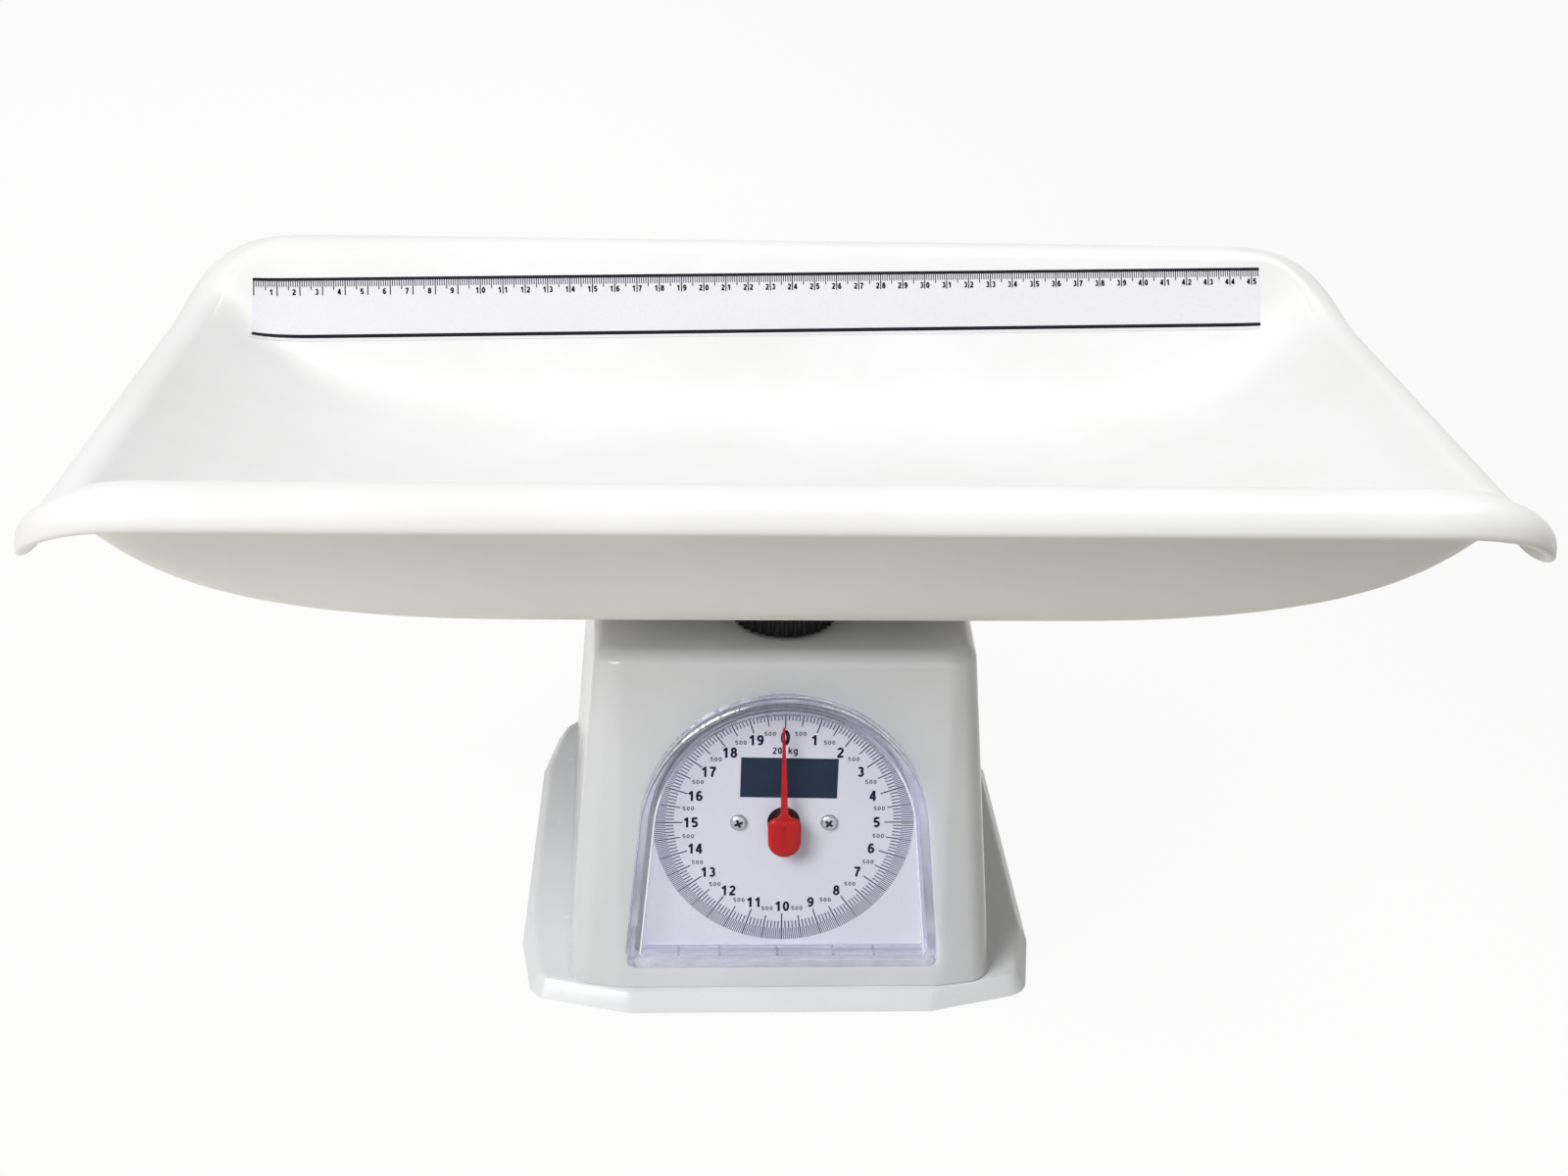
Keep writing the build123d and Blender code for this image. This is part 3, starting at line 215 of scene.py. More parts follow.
def cutAway(piece, cutters, inside=None):  # takes closed shells out of a piece, cut faces in another finish
    tools = []
    for index, (points, faces) in enumerate(cutters):
        tools.append(makePiece("cutter", points, faces, inside or piece.data.materials[0]))
        cut = piece.modifiers.new("cut" + str(index), "BOOLEAN")
        cut.operation, cut.solver, cut.object = "DIFFERENCE", "EXACT", tools[-1]
        cut.material_mode = "TRANSFER"
    mesh, old = evaluatedMesh(piece), piece.data
    piece.modifiers.clear()
    piece.data = mesh
    mesh.name = piece.name
    bpy.data.meshes.remove(old)
    softShade(mesh, sharpAngle)
    for tool in tools:
        bpy.data.objects.remove(tool)


def finishPiece(piece, body, slot, *nodes):
    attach(piece, body)
    if nodes:
        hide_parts(*nodes)


# Materials


def surface(tree, colours, cloud, settings, links):  # two colours mixed by a pattern, then the shader
    mixed = addNode(tree, "ShaderNodeMix",
                    {"data_type": "RGBA", 6: linear(colours[0]), 7: linear(colours[1])}, {0: cloud})
    shader = addNode(tree, "ShaderNodeBsdfPrincipled", settings, {"Base Color": mixed.outputs[2], **links})
    addNode(tree, "ShaderNodeOutputMaterial", None, {"Surface": shader.outputs["BSDF"]})


# Injection-moulded thermoplastic: even colour, faint flow marks, smears in the gloss and a fine orange peel.
# Peel is its size and strength, rough the least roughness and how far it spreads.
def mouldedPlastic(name, colours, flow, smear, peel, rough, ior, shine):
    material, tree, place = startMaterial(name)
    noises = [addNode(tree, "ShaderNodeTexNoise", {"Scale": perMetre(size), "Detail": detail},
                      {"Vector": place}) for size, detail in ((flow, 3.0), (smear, 5.0), (peel[0], 2.0))]
    flows, smears, skin = (noise.outputs["Fac"] for noise in noises)
    cloud = addNode(tree, "ShaderNodeMapRange", {"From Min": 0.35, "From Max": 0.65}, {"Value": flows})
    gloss = addNode(tree, "ShaderNodeMapRange", {"From Min": 0.35, "From Max": 0.7,
                                                 "To Min": rough[0], "To Max": sum(rough)}, {"Value": smears})
    bump = addNode(tree, "ShaderNodeBump", {"Strength": peel[1], "Distance": 0.05 * mm}, {"Height": skin})
    surface(tree, colours, cloud.outputs["Result"], {"IOR": ior, "Specular IOR Level": shine},
            {"Roughness": gloss.outputs["Result"], "Normal": bump.outputs["Normal"]})
    return material


def platedMetal(name, colours, grain, line, cloud, rough):  # lines along one axis, colour a little uneven
    material, tree, place = startMaterial(name)
    stretch = addNode(tree, "ShaderNodeMapping", {"Scale": grain}, {"Vector": place})
    noises = [addNode(tree, "ShaderNodeTexNoise", {"Scale": perMetre(size), "Detail": detail},
                      {"Vector": spot})
              for size, detail, spot in ((line, 3.0, stretch.outputs["Vector"]), (cloud, 2.0, place))]
    lines, clouds = (noise.outputs["Fac"] for noise in noises)
    gloss = addNode(tree, "ShaderNodeMapRange", {"To Min": rough, "To Max": rough + 0.2}, {"Value": lines})
    bump = addNode(tree, "ShaderNodeBump", {"Strength": 0.25, "Distance": 0.03 * mm}, {"Height": lines})
    surface(tree, colours, clouds, {"Metallic": 1.0},
            {"Roughness": gloss.outputs["Result"], "Normal": bump.outputs["Normal"]})
    return material


def printedSurface(name, colours, grain, rough):  # ink or coated card: print grain under a satin varnish
    material, tree, place = startMaterial(name)
    noise = addNode(tree, "ShaderNodeTexNoise", {"Scale": perMetre(grain), "Detail": 4.0}, {"Vector": place})
    grains = noise.outputs["Fac"]
    spread = addNode(tree, "ShaderNodeMapRange", {"From Min": 0.3, "From Max": 0.7}, {"Value": grains})
    gloss = addNode(tree, "ShaderNodeMapRange", {"To Min": rough, "To Max": rough + 0.15}, {"Value": grains})
    surface(tree, colours, spread.outputs["Result"], {"IOR": 1.5, "Specular IOR Level": 0.15},
            {"Roughness": gloss.outputs["Result"]})
    return material


# Clear polystyrene: faint violet cast, lamps shine through it, soft moulding waves
def clearStyrene(name, ior, wave, tint):
    material, tree, place = startMaterial(name)
    waves = addNode(tree, "ShaderNodeTexNoise", {"Scale": perMetre(9.0), "Detail": 1.0}, {"Vector": place})
    bump = addNode(tree, "ShaderNodeBump", {"Strength": wave, "Distance": 0.1 * mm},
                   {"Height": waves.outputs["Fac"]})
    shader = addNode(tree, "ShaderNodeBsdfPrincipled",
                     {"Base Color": linear(tint), "Roughness": 0.02, "IOR": ior, "Transmission Weight": 1.0},
                     {"Normal": bump.outputs["Normal"]})
    passing = addNode(tree, "ShaderNodeBsdfTransparent", {"Color": linear("#F2F1F7")})
    path = addNode(tree, "ShaderNodeLightPath")
    mix = addNode(tree, "ShaderNodeMixShader", None,
                  {0: path.outputs["Is Shadow Ray"], 1: shader.outputs["BSDF"], 2: passing.outputs["BSDF"]})
    addNode(tree, "ShaderNodeOutputMaterial", None, {"Surface": mix.outputs["Shader"]})
    return material


# Tray: polypropylene from a polished tool, so it is glossy, milky white and slightly wavy in reflections
trayPolypropylene = mouldedPlastic("trayPolypropyleneGloss", ("#F7F7F7", "#F2F2F1"), flow=70.0, smear=14.0,
                                   peel=(3.0, 0.1), rough=(0.3, 0.08), ior=1.49, shine=0.4)
# Housing: ABS, polished, with tight reflections of the lamps and a faint flow cloud round the gates
housingAbs = mouldedPlastic("housingAbsGloss", ("#E9ECF0", "#E4E7EB"), flow=55.0, smear=11.0,
                            peel=(2.4, 0.08), rough=(0.13, 0.09), ior=1.54, shine=0.5)
# Plinth: the same ABS from another tool, a little duller
plinthAbs = mouldedPlastic("plinthAbsGloss", ("#F9FBFE", "#F4F6FA"), flow=45.0, smear=9.0,
                           peel=(2.2, 0.08), rough=(0.18, 0.1), ior=1.54, shine=0.5)
# Wheel and carrier: black ABS from a spark-eroded tool, so the light breaks up on it
blackAbs = mouldedPlastic("blackAbsFineTexture", ("#0D0D0E", "#131315"), flow=12.0, smear=3.0,
                          peel=(0.6, 0.5), rough=(0.42, 0.15), ior=1.54, shine=0.2)
# Pointer: red ABS, polished
pointerAbs = mouldedPlastic("pointerAbsRedGloss", ("#C00A08", "#B60807"), flow=8.0, smear=2.5,
                            peel=(1.2, 0.1), rough=(0.24, 0.03), ior=1.54, shine=0.25)
# Washer behind the pointer: vulcanised fibre, red-brown and dull like hard card
fibreWasher = mouldedPlastic("vulcanisedFibre", ("#4A201F", "#381716"), flow=3.0, smear=1.0,
                             peel=(0.4, 0.6), rough=(0.6, 0.15), ior=1.5, shine=0.15)
# Feet, pads and stop: black rubber, dull and dusty
mouldedRubber = mouldedPlastic("mouldedRubberMatt", ("#1B1B1C", "#2A2928"), flow=6.0, smear=2.0,
                               peel=(0.6, 0.8), rough=(0.7, 0.15), ior=1.5, shine=0.2)
# Sheet, screws and pins: steel with bright zinc plating
zincSteel = platedMetal("zincPlatedSteel", ("#C9CDD1", "#AEB3BA"), (1.0, 1.0, 0.08),
                        line=0.5, cloud=5.0, rough=0.24)
# Cross recess of the dial's screws: painted shade, zinc made darker and duller so that the slots read as
# shadowed
recessPaintedShadeSteel = platedMetal("recessPaintedShadeZinc", ("#3F4246", "#2E3033"), (1.0, 1.0, 1.0),
                          line=0.5, cloud=2.0, rough=0.55)
# Springs and clip: drawn spring wire, darker and oily
springSteel = platedMetal("drawnSpringSteel", ("#8E9094", "#6F7277"), (1.0, 1.0, 0.3),
                          line=0.4, cloud=3.0, rough=0.3)
# Pinion, rack and bushes: free-cutting brass, turned
turnedBrass = platedMetal("turnedBrass", ("#D8B668", "#C59B4B"), (0.2, 1.0, 1.0),
                          line=0.3, cloud=4.0, rough=0.22)
# Dial card: coated card printed faint blue-white, satin
dialCard = printedSurface("dialCardCoated", ("#E6E8EE", "#E0E3EB"), grain=0.8, rough=0.4)
# Rule: white vinyl film, satin
ruleFilm = printedSurface("ruleVinylFilm", ("#F0EFF2", "#ECEBEF"), grain=1.2, rough=0.3)
# Inks: screen print, a little uneven in density
inkBlack = printedSurface("printInkBlack", ("#06060C", "#0C0C18"), grain=0.6, rough=0.45)
inkNavy = printedSurface("printInkNavy", ("#08082A", "#0E0E38"), grain=0.6, rough=0.45)
inkViolet = printedSurface("printInkViolet", ("#17152E", "#221F40"), grain=0.5, rough=0.45)
inkPale = printedSurface("printInkPale", ("#5A5C78", "#6A6C88"), grain=0.5, rough=0.45)
inkGrey = printedSurface("printInkGrey", ("#34364E", "#404260"), grain=0.5, rough=0.45)
inkSlate = printedSurface("printInkSlateBlue", ("#1F3145", "#1A2A3D"), grain=1.4, rough=0.4)
# Window: clear polystyrene; the rim bends and mirrors what is round it, the flat sheet shows the print plainly
windowStyrene = clearStyrene("windowClearStyrene", 1.49, 0.05, "#E2E0EC")
sheetStyrene = clearStyrene("windowSheetStyrene", 1.12, 0.02, "#F7F7FA")

cadFinish = {
    "tray_plastic": trayPolypropylene, "rule_film": ruleFilm, "housing_plastic": housingAbs,
    "plinth_plastic": plinthAbs, "clear_plastic": windowStyrene, "dial_card": dialCard,
    "pointer_red": pointerAbs, "black_plastic": blackAbs, "zinc_steel": zincSteel,
    "spring_steel": springSteel, "turned_brass": turnedBrass, "black_rubber": mouldedRubber}
for part in frame["record"]["subparts"]:
    mesh = frame["nodes"][part["node"]].data
    mesh.materials.clear()
    mesh.materials.append(cadFinish[part["material_slot"]])
print("materials on the CAD nodes")

# Tray: rim, wall and floor follow a cut through a side and one through an end, and blend round the corners

tray = {
    "wall": 3.0, "roll": 14.0, "innerRoll": 9.0, "floor": 177.0,
    "sides": {"rim": 155.0, "crest": 244.0, "drop": 12.0, "slope": 61.0, "floorHalf": 94.0,
              "turn": 20.0, "sweep": 50.0, "ease": 1.0},
    "ends": {"rim": 264.0, "crest": 222.0, "drop": 18.0, "slope": 38.0, "floorHalf": 112.0,
             "turn": 55.0, "sweep": 35.0, "ease": 2.0},
    "rimCorner": 58.0, "crestCorner": 44.0, "wallCorner": 30.0, "floorCorner": 85.0, "cornerBend": 2.2,
    "rimSquareness": 0.8, "floorSquareness": 0.55, "cornerHold": 1.25, "lipRound": 1.3, "lipSteps": 6,
    "rollSteps": 14, "innerSteps": 9, "wallSteps": 46, "sideSteps": 26, "cornerSteps": 14, "endSteps": 14,
    "floorShares": (0.85, 0.65, 0.4, 0.15), "bossX": 60.0, "bossY": 44.0, "bossDrop": 3.0,
    "bossProfile": ((7.5, 0.0), (8.0, 0.5), (8.0, 3.0), (8.6, 4.0))}  # radius and height


def bezier(controls, t):
    a, b, c, d = controls
    u = 1 - t
    return a * u**3 + 3 * b * t * u**2 + 3 * c * t**2 * u + d * t**3


def bezierSlope(controls, t):
    a, b, c, d = controls
    u = 1 - t
    return 3 * (b - a) * u**2 + 6 * (c - b) * t * u + 3 * (d - c) * t**2


def wallStations(run):  # a cut from the lip to the floor: how far out, how high, and the normal there
    roll, inner = tray["roll"], tray["innerRoll"]
    rollAt, crest, drop = run["rim"] - roll, run["crest"], run["drop"] - tray["lipRound"]
    upright = max(drop - roll, 0)
    first = math.asin(max(1 - drop / roll, 0))
    length, lean = upright + roll * (math.pi / 2 - first), math.radians(run["slope"])
    rim = []
    for step in range(tray["rollSteps"] + 1):
        along = length * step / tray["rollSteps"] - upright
        rim.append((roll, first + max(along, 0) / roll, min(along, 0)))
    rim += [(inner, math.pi / 2 + lean * step / tray["innerSteps"], 0)
            for step in range(1, tray["innerSteps"] + 1)]
    stations = [(rollAt + radius * math.cos(turn), crest - radius + radius * math.sin(turn) + rise,
                 math.cos(turn), math.sin(turn)) for radius, turn, rise in rim]
    top, topZ = stations[-1][:2]
    reach = run["floorHalf"]
    outs = (top, top - run["sweep"] * math.cos(lean), reach + run["turn"], reach)
    heights = (topZ, topZ - run["sweep"] * math.sin(lean), tray["floor"], tray["floor"])
    for step in range(1, tray["wallSteps"] + 1):
        t = (step / tray["wallSteps"]) ** run["ease"]
        out, rise = bezierSlope(outs, t), bezierSlope(heights, t)
        size = math.hypot(out, rise)
        stations.append((bezier(outs, t), bezier(heights, t), rise / size, -out / size))
    return stations


def trayRing(outX, endZ, outY, sideZ, corner, squareness):  # a line round the tray, a quarter and its mirrors
    flatX, flatY, reach = outX - corner, outY - corner, squareness * corner
    quarter = [(flatX * i / tray["sideSteps"], outY, sideZ) for i in range(tray["sideSteps"])]
    for i in range(tray["cornerSteps"]):
        t = i / tray["cornerSteps"]
        quarter.append((bezier((flatX, flatX + reach, outX, outX), t),
                        bezier((outY, outY, flatY + reach, flatY), t),
                        bezier((sideZ, sideZ, endZ, endZ), t ** tray["cornerHold"])))
    quarter += [(outX, flatY * (1 - i / tray["endSteps"]), endZ) for i in range(tray["endSteps"] + 1)]
    back = quarter[::-1]
    ring = quarter + [(x, -y, z) for x, y, z in back[1:]]
    ring += [(-x, -y, z) for x, y, z in quarter[1:]] + [(-x, y, z) for x, y, z in back[1:-1]]
    return [Vector(point) * mm for point in ring]


def blended(start, end, share):
    return tray[start] + (tray[end] - tray[start]) * share


def traySurface(inset):  # rings from the lip to the floor, moved in from the upper surface
    sides, ends = wallStations(tray["sides"]), wallStations(tray["ends"])
    firstWall = len(sides) - tray["wallSteps"]
    rollAt, wallTop = tray["sides"]["rim"] - tray["roll"], sides[firstWall - 1][0]
    rings = []
    for index, (side, end) in enumerate(zip(sides, ends)):
        bend = max(index - firstWall + 1, 0) / tray["wallSteps"]
        if index >= firstWall:
            corner = blended("wallCorner", "floorCorner", bend ** tray["cornerBend"])
        elif side[0] < rollAt:
            corner = blended("crestCorner", "wallCorner", (rollAt - side[0]) / (rollAt - wallTop))
        else:
            corner = blended("crestCorner", "rimCorner", (side[0] - rollAt) / tray["roll"])
        rings.append(trayRing(end[0] - inset * end[2], end[1] - inset * end[3],
                              side[0] - inset * side[2], side[1] - inset * side[3], corner - inset / 2,
                              blended("rimSquareness", "floorSquareness", bend**2)))
    level, corner = tray["floor"] - inset, tray["floorCorner"] - inset / 2
    halfX, halfY = tray["ends"]["floorHalf"], tray["sides"]["floorHalf"]
    return rings + [trayRing(halfX * share, level, halfY * share, level, corner * share,
                             tray["floorSquareness"])
                    for share in tray["floorShares"]]  # ever smaller rings close the floor


def lipRings(upper, lower):  # half-round edge from one surface to the other
    rings = []
    for step in range(1, tray["lipSteps"]):
        turn = math.pi * step / tray["lipSteps"]
        share = (1 - math.cos(turn)) / 2
        down = Vector((0, 0, -tray["lipRound"] * math.sin(turn) * mm))
        rings.append([a.lerp(b, share) + down for a, b in zip(upper, lower)])
    return rings


upperRings, lowerRings = traySurface(0), traySurface(tray["wall"])
shells = [loft([*reversed(upperRings), *lipRings(upperRings[0], lowerRings[0]), *lowerRings])]
bossFoot = tray["floor"] - tray["wall"] - tray["bossDrop"]
boss = [(radius, bossFoot + level) for radius, level in tray["bossProfile"]]
for x in (-tray["bossX"], tray["bossX"]):
    for y in (-tray["bossY"], tray["bossY"]):
        shells.append(loft(scaled(turned(boss, (x, y)))))
trayShell = makePiece("trayShell", *joined(shells), trayPolypropylene, sharp=50)
finishPiece(trayShell, "platform", "tray_plastic", "tray")
trayTree = BVHTree.FromObject(trayShell, bpy.context.evaluated_depsgraph_get())
print("tray:", len(trayShell.data.polygons), "faces")

# Printed marks: Geometry Nodes lay out rows and circles of ticks, digits are flat strokes


def repeatTree(name, sizes, lay):  # a tree that sets copies of a shape on points, with an input for each size
    tree = bpy.data.node_groups.new(name, "GeometryNodeTree")
    for way in ("INPUT", "OUTPUT"):
        tree.interface.new_socket("Geometry", in_out=way, socket_type="NodeSocketGeometry")
    for socketName in ("Count", *sizes, "Material"):
        kind = {"Count": "Int", "Material": "Material"}.get(socketName, "Float")
        tree.interface.new_socket(socketName, in_out="INPUT", socket_type="NodeSocket" + kind)
    given = addNode(tree, "NodeGroupInput").outputs
    copies = addNode(tree, "GeometryNodeInstanceOnPoints", None, lay(tree, given))
    real = addNode(tree, "GeometryNodeRealizeInstances", None, {"Geometry": copies.outputs["Instances"]})
    coated = addNode(tree, "GeometryNodeSetMaterial", None,
                     {"Geometry": real.outputs["Geometry"], "Material": given["Material"]})
    addNode(tree, "NodeGroupOutput", None, {"Geometry": coated.outputs["Geometry"]})
    return tree


def layTicks(tree, given):  # flat ticks in a row, or upright round a circle where the tree has a radius
    mark = addNode(tree, "GeometryNodeMeshGrid", {"Vertices X": 2, "Vertices Y": 2},
                   {"Size X": given["Mark Width"], "Size Y": given["Mark Length"]}).outputs["Mesh"]
    if "Radius" not in given:
        step = addNode(tree, "ShaderNodeCombineXYZ", None, {"X": given["Spacing"]}).outputs["Vector"]
        row = addNode(tree, "GeometryNodeMeshLine", None, {"Count": given["Count"], "Offset": step})
        return {"Points": row.outputs["Mesh"], "Instance": mark}
    ring = addNode(tree, "GeometryNodeMeshCircle", None,
                   {"Vertices": given["Count"], "Radius": given["Radius"]})
    spot = addNode(tree, "GeometryNodeInputPosition")
    turn = addNode(tree, "FunctionNodeAlignEulerToVector", {"axis": "Y"}, {"Vector": spot.outputs["Position"]})
    return {"Points": ring.outputs["Mesh"], "Instance": mark, "Rotation": turn.outputs["Rotation"]}


def runTree(tree, inputs):  # hands back the points and faces that a tree makes
    holder = bpy.data.objects.new("marks", bpy.data.meshes.new("marks"))
    bpy.context.scene.collection.objects.link(holder)
    modifier = holder.modifiers.new("marks", "NODES")
    modifier.node_group = tree
    for item in tree.interface.items_tree:
        if item.item_type == "SOCKET" and item.in_out == "INPUT" and item.name in inputs:
            modifier[item.identifier] = inputs[item.name]
    mesh = evaluatedMesh(holder)
    result = [v.co.copy() for v in mesh.vertices], [tuple(p.vertices) for p in mesh.polygons]
    bpy.data.objects.remove(holder)
    bpy.data.meshes.remove(mesh)
    return result


glyphWeight = 0.215  # stroke width of a bold digit, as a share of its height
arcStep = 24  # degrees from point to point of a digit's arc
ringGap = 1e-6  # a stroke whose ends are nearer than this is a ring
glyphs = {  # bold strokes in a cell one high: points (x, y) and arcs (x, y, radius x, radius y, from, to)
    "0": [[(0, 0.5, 0.2, 0.405, 0, 360)]],
    "1": [[(0.07, 0), (0.07, 1)], [(0.1, 0.93), (-0.2, 0.69)]],
    "2": [[(0, 0.7, 0.2, 0.205, 165, -38), (-0.2, 0.12)], [(-0.28, 0.095), (0.28, 0.095)]],
    "3": [[(0, 0.715, 0.18, 0.19, 150, -90)], [(0, 0.31, 0.205, 0.215, 90, -150)]],
    "4": [[(0.11, 0), (0.11, 1)], [(0.08, 0.96), (-0.22, 0.33)], [(-0.3, 0.29), (0.29, 0.29)]],
    "5": [[(0.25, 0.905), (-0.17, 0.905)], [(-0.13, 0.97), (-0.18, 0.45)],
          [(0, 0.325, 0.205, 0.23, 140, -150)]],
    "6": [[(0, 0.325, 0.2, 0.23, 0, 360)], [(0.035, 0.48, 0.235, 0.425, 52, 190)]],
    "7": [[(-0.27, 0.905), (0.28, 0.905)], [(0.22, 0.88), (0.04, 0.55), (-0.04, 0.28), (-0.07, 0)]],
    "8": [[(0, 0.72, 0.165, 0.185, 0, 360)], [(0, 0.305, 0.205, 0.21, 0, 360)]],
    "9": [[(0, 0.675, 0.2, 0.23, 0, 360)], [(-0.035, 0.52, 0.235, 0.425, -128, 10)]],
    "k": [[(-0.2, 0), (-0.2, 1)], [(-0.17, 0.3), (0.2, 0.74)], [(-0.03, 0.44), (0.24, 0)]],
    "g": [[(0, 0.36, 0.2, 0.29, 0, 360)], [(0.2, 0.74), (0.2, -0.02), (0, -0.02, 0.2, 0.2, 0, -145)]],
    " ": []}


def strokeRibbon(stroke, half):
    path = []
    for item in stroke:
        if len(item) == 2:
            path.append(Vector(item))
            continue
        x, y, radiusX, radiusY, start, end = item
        steps = max(4, round(abs(end - start) / arcStep))
        turns = [math.radians(start + (end - start) * i / steps) for i in range(steps + 1)]
        path += [Vector((x + radiusX * math.cos(turn), y + radiusY * math.sin(turn))) for turn in turns]
    closed = (path[0] - path[-1]).length < ringGap
    points = []
    for i, spot in enumerate(path):
        before = path[i - 1] if i else (path[-2] if closed else spot)
        after = path[i + 1] if i + 1 < len(path) else (path[1] if closed else spot)
        along = (after - before).normalized()
        across = Vector((-along.y, along.x)) * half
        points += [spot + across, spot - across]
    return points, [(2 * i + 1, 2 * i + 3, 2 * i + 2, 2 * i) for i in range(len(path) - 1)]


def lettering(words, height, narrow=1.0, weight=glyphWeight, advance=0.74):  # words as flat strokes, centred
    points, faces = [], []
    for index, sign in enumerate(words):
        shift = (index - (len(words) - 1) / 2) * advance
        for stroke in glyphs[sign]:
            ribbon, quads = strokeRibbon(stroke, weight / 2)
            faces += [tuple(i + len(points) for i in quad) for quad in quads]
            points += [((p.x + shift) * height * narrow, (p.y - 0.5) * height) for p in ribbon]
    return points, faces


class Print:  # gathers flat marks of one ink in a plane's own millimetres
    def __init__(self):
        self.points, self.faces = [], []

    def add(self, points, faces, x=0.0, y=0.0):
        base = len(self.points)
        self.points += [Vector((p[0] + x, p[1] + y, 0)) for p in points]
        self.faces += [tuple(i + base for i in corners) for corners in faces]

    def box(self, x0, y0, x1, y1, steps):
        spots = [(x0 + (x1 - x0) * i / steps, y) for y in (y0, y1) for i in range(steps + 1)]
        self.add(spots, [(i, i + 1, i + steps + 2, i + steps + 1) for i in range(steps)])

    def finish(self, name, place, material, body, slot):  # place puts each flat point where it is in the scene
        piece = makePiece(name, [place(p) for p in self.points], self.faces, material, sharp=180,
                          repair=False)
        finishPiece(piece, body, slot)


rowTicks = repeatTree("rowOfTicks", ("Spacing", "Mark Width", "Mark Length"), layTicks)
ringTicks = repeatTree("ringOfTicks", ("Radius", "Mark Width", "Mark Length"), layTicks)

# Length strip on the back wall, stuck on a little out of line

strip = {
    "length": 454.0, "width": 28.0, "thickness": 0.3, "footZ": 208.4, "shift": -4.1, "tilt": 1.3,
    "castFrom": 15.0, "topLine": 1.4, "bottomLine": 1.55, "bottomEdge": 1.2, "bottomStart": 0.9,
    "lineSteps": 220, "edgeGap": 0.02, "lift": 0.08, "zeroAt": 0.5, "centimetres": 45, "lastTick": 453,
    "ticks": ((1, 2.7, 0.4), (5, 4.1, 0.44), (10, 6.6, 0.5)),  # spacing, length and width
    "number": (2.6, 0.95, 0.26), "numberDrop": 4.95, "numberShift": 2.6, "digitShift": 1.4,
    "stepsX": 160, "stepsY": 14}
sideSlope, stripTilt = math.radians(tray["sides"]["slope"]), math.radians(strip["tilt"])
wallTopY = tray["sides"]["rim"] - tray["roll"] - tray["innerRoll"] * math.sin(sideSlope)
wallTopZ = tray["sides"]["crest"] - tray["innerRoll"] * (1 - math.cos(sideSlope))
halfLength, halfWidth = strip["length"] / 2, strip["width"] / 2
stripFootY = wallTopY - (wallTopZ - strip["footZ"]) / math.tan(sideSlope)
stripMiddle = Vector((strip["shift"], stripFootY + halfWidth * math.cos(sideSlope),
                      strip["footZ"] + halfWidth * math.sin(sideSlope)))
stripNormal = Vector((0, -math.sin(sideSlope), math.cos(sideSlope)))
stripAlong = Vector((math.cos(stripTilt), math.sin(stripTilt) * math.cos(sideSlope),
                     math.sin(stripTilt) * math.sin(sideSlope)))
stripUp = stripNormal.cross(stripAlong)


def onWall(tree, x, y, lift):  # a point of the strip, laid on the surface below it
    start = (stripMiddle + stripAlong * x + stripUp * y + stripNormal * strip["castFrom"]) * mm
    return tree.ray_cast(start, -stripNormal)[0] + stripNormal * lift * mm


def wallGrid(lift):
    across = [-halfLength + 2 * halfLength * i / strip["stepsX"] for i in range(strip["stepsX"] + 1)]
    up = [-halfWidth + 2 * halfWidth * j / strip["stepsY"] for j in range(strip["stepsY"] + 1)]
    return [onWall(trayTree, x, y, lift) for y in up for x in across]


def stripSolid():
    stepsX, stepsY = strip["stepsX"], strip["stepsY"]
    row, count = stepsX + 1, (stepsX + 1) * (stepsY + 1)
    quads = []
    for a in [j * row + i for j in range(stepsY) for i in range(stepsX)]:
        b = a + row
        quads += [(a, a + 1, b + 1, b), (a + count, b + count, b + 1 + count, a + 1 + count)]
    edge = [*range(row), *(j * row + stepsX for j in range(1, stepsY + 1))]
    edge += [stepsY * row + i for i in range(stepsX - 1, -1, -1)] + [j * row for j in range(stepsY - 1, 0, -1)]
    quads += [(a, a + count, b + count, b) for a, b in zip(edge, edge[1:] + edge[:1])]
    return makePiece("lengthStrip", wallGrid(strip["thickness"]) + wallGrid(0.0), quads, ruleFilm, sharp=40)


lengthStrip = stripSolid()
finishPiece(lengthStrip, "platform", "rule_film", "length_strip")

filmTree = BVHTree.FromObject(lengthStrip, bpy.context.evaluated_depsgraph_get())
stripInk, stripTicks = Print(), Print()
stripEnd, zeroX = halfLength - strip["edgeGap"], -halfLength + strip["zeroAt"]
tickTop, bottomFoot = halfWidth - strip["topLine"], -halfWidth + strip["bottomEdge"]
stripInk.box(-stripEnd, tickTop, stripEnd, halfWidth - strip["edgeGap"], strip["lineSteps"])
stripInk.box(-halfLength + strip["bottomStart"], bottomFoot, stripEnd, bottomFoot + strip["bottomLine"],
             strip["lineSteps"])
for spacing, length, width in strip["ticks"]:
    marks = runTree(rowTicks, {"Count": strip["lastTick"] // spacing + 1, "Spacing": float(spacing),
                               "Mark Width": width, "Mark Length": length, "Material": inkViolet})
    stripTicks.add(*marks, zeroX, tickTop - length / 2)
for number in range(1, strip["centimetres"] + 1):
    digits = str(number)
    for index, digit in enumerate(digits):
        shift = -strip["numberShift"] if len(digits) == 1 else strip["digitShift"] * (2 * index - 1)
        stripInk.add(*lettering(digit, *strip["number"]), zeroX + 10 * number + shift,
                     tickTop - strip["numberDrop"])
for name, ink, colour in (("stripLinesAndNumbers", stripInk, inkBlack), ("stripTicks", stripTicks, inkViolet)):
    ink.finish(name, lambda p: onWall(filmTree, p.x, p.y, strip["lift"]), colour, "platform", "rule_film")
print("length strip:", len(stripInk.faces) + len(stripTicks.faces), "printed faces")

# Dial face: everything here is in the face's own plane, x right, y up the face, z out of it

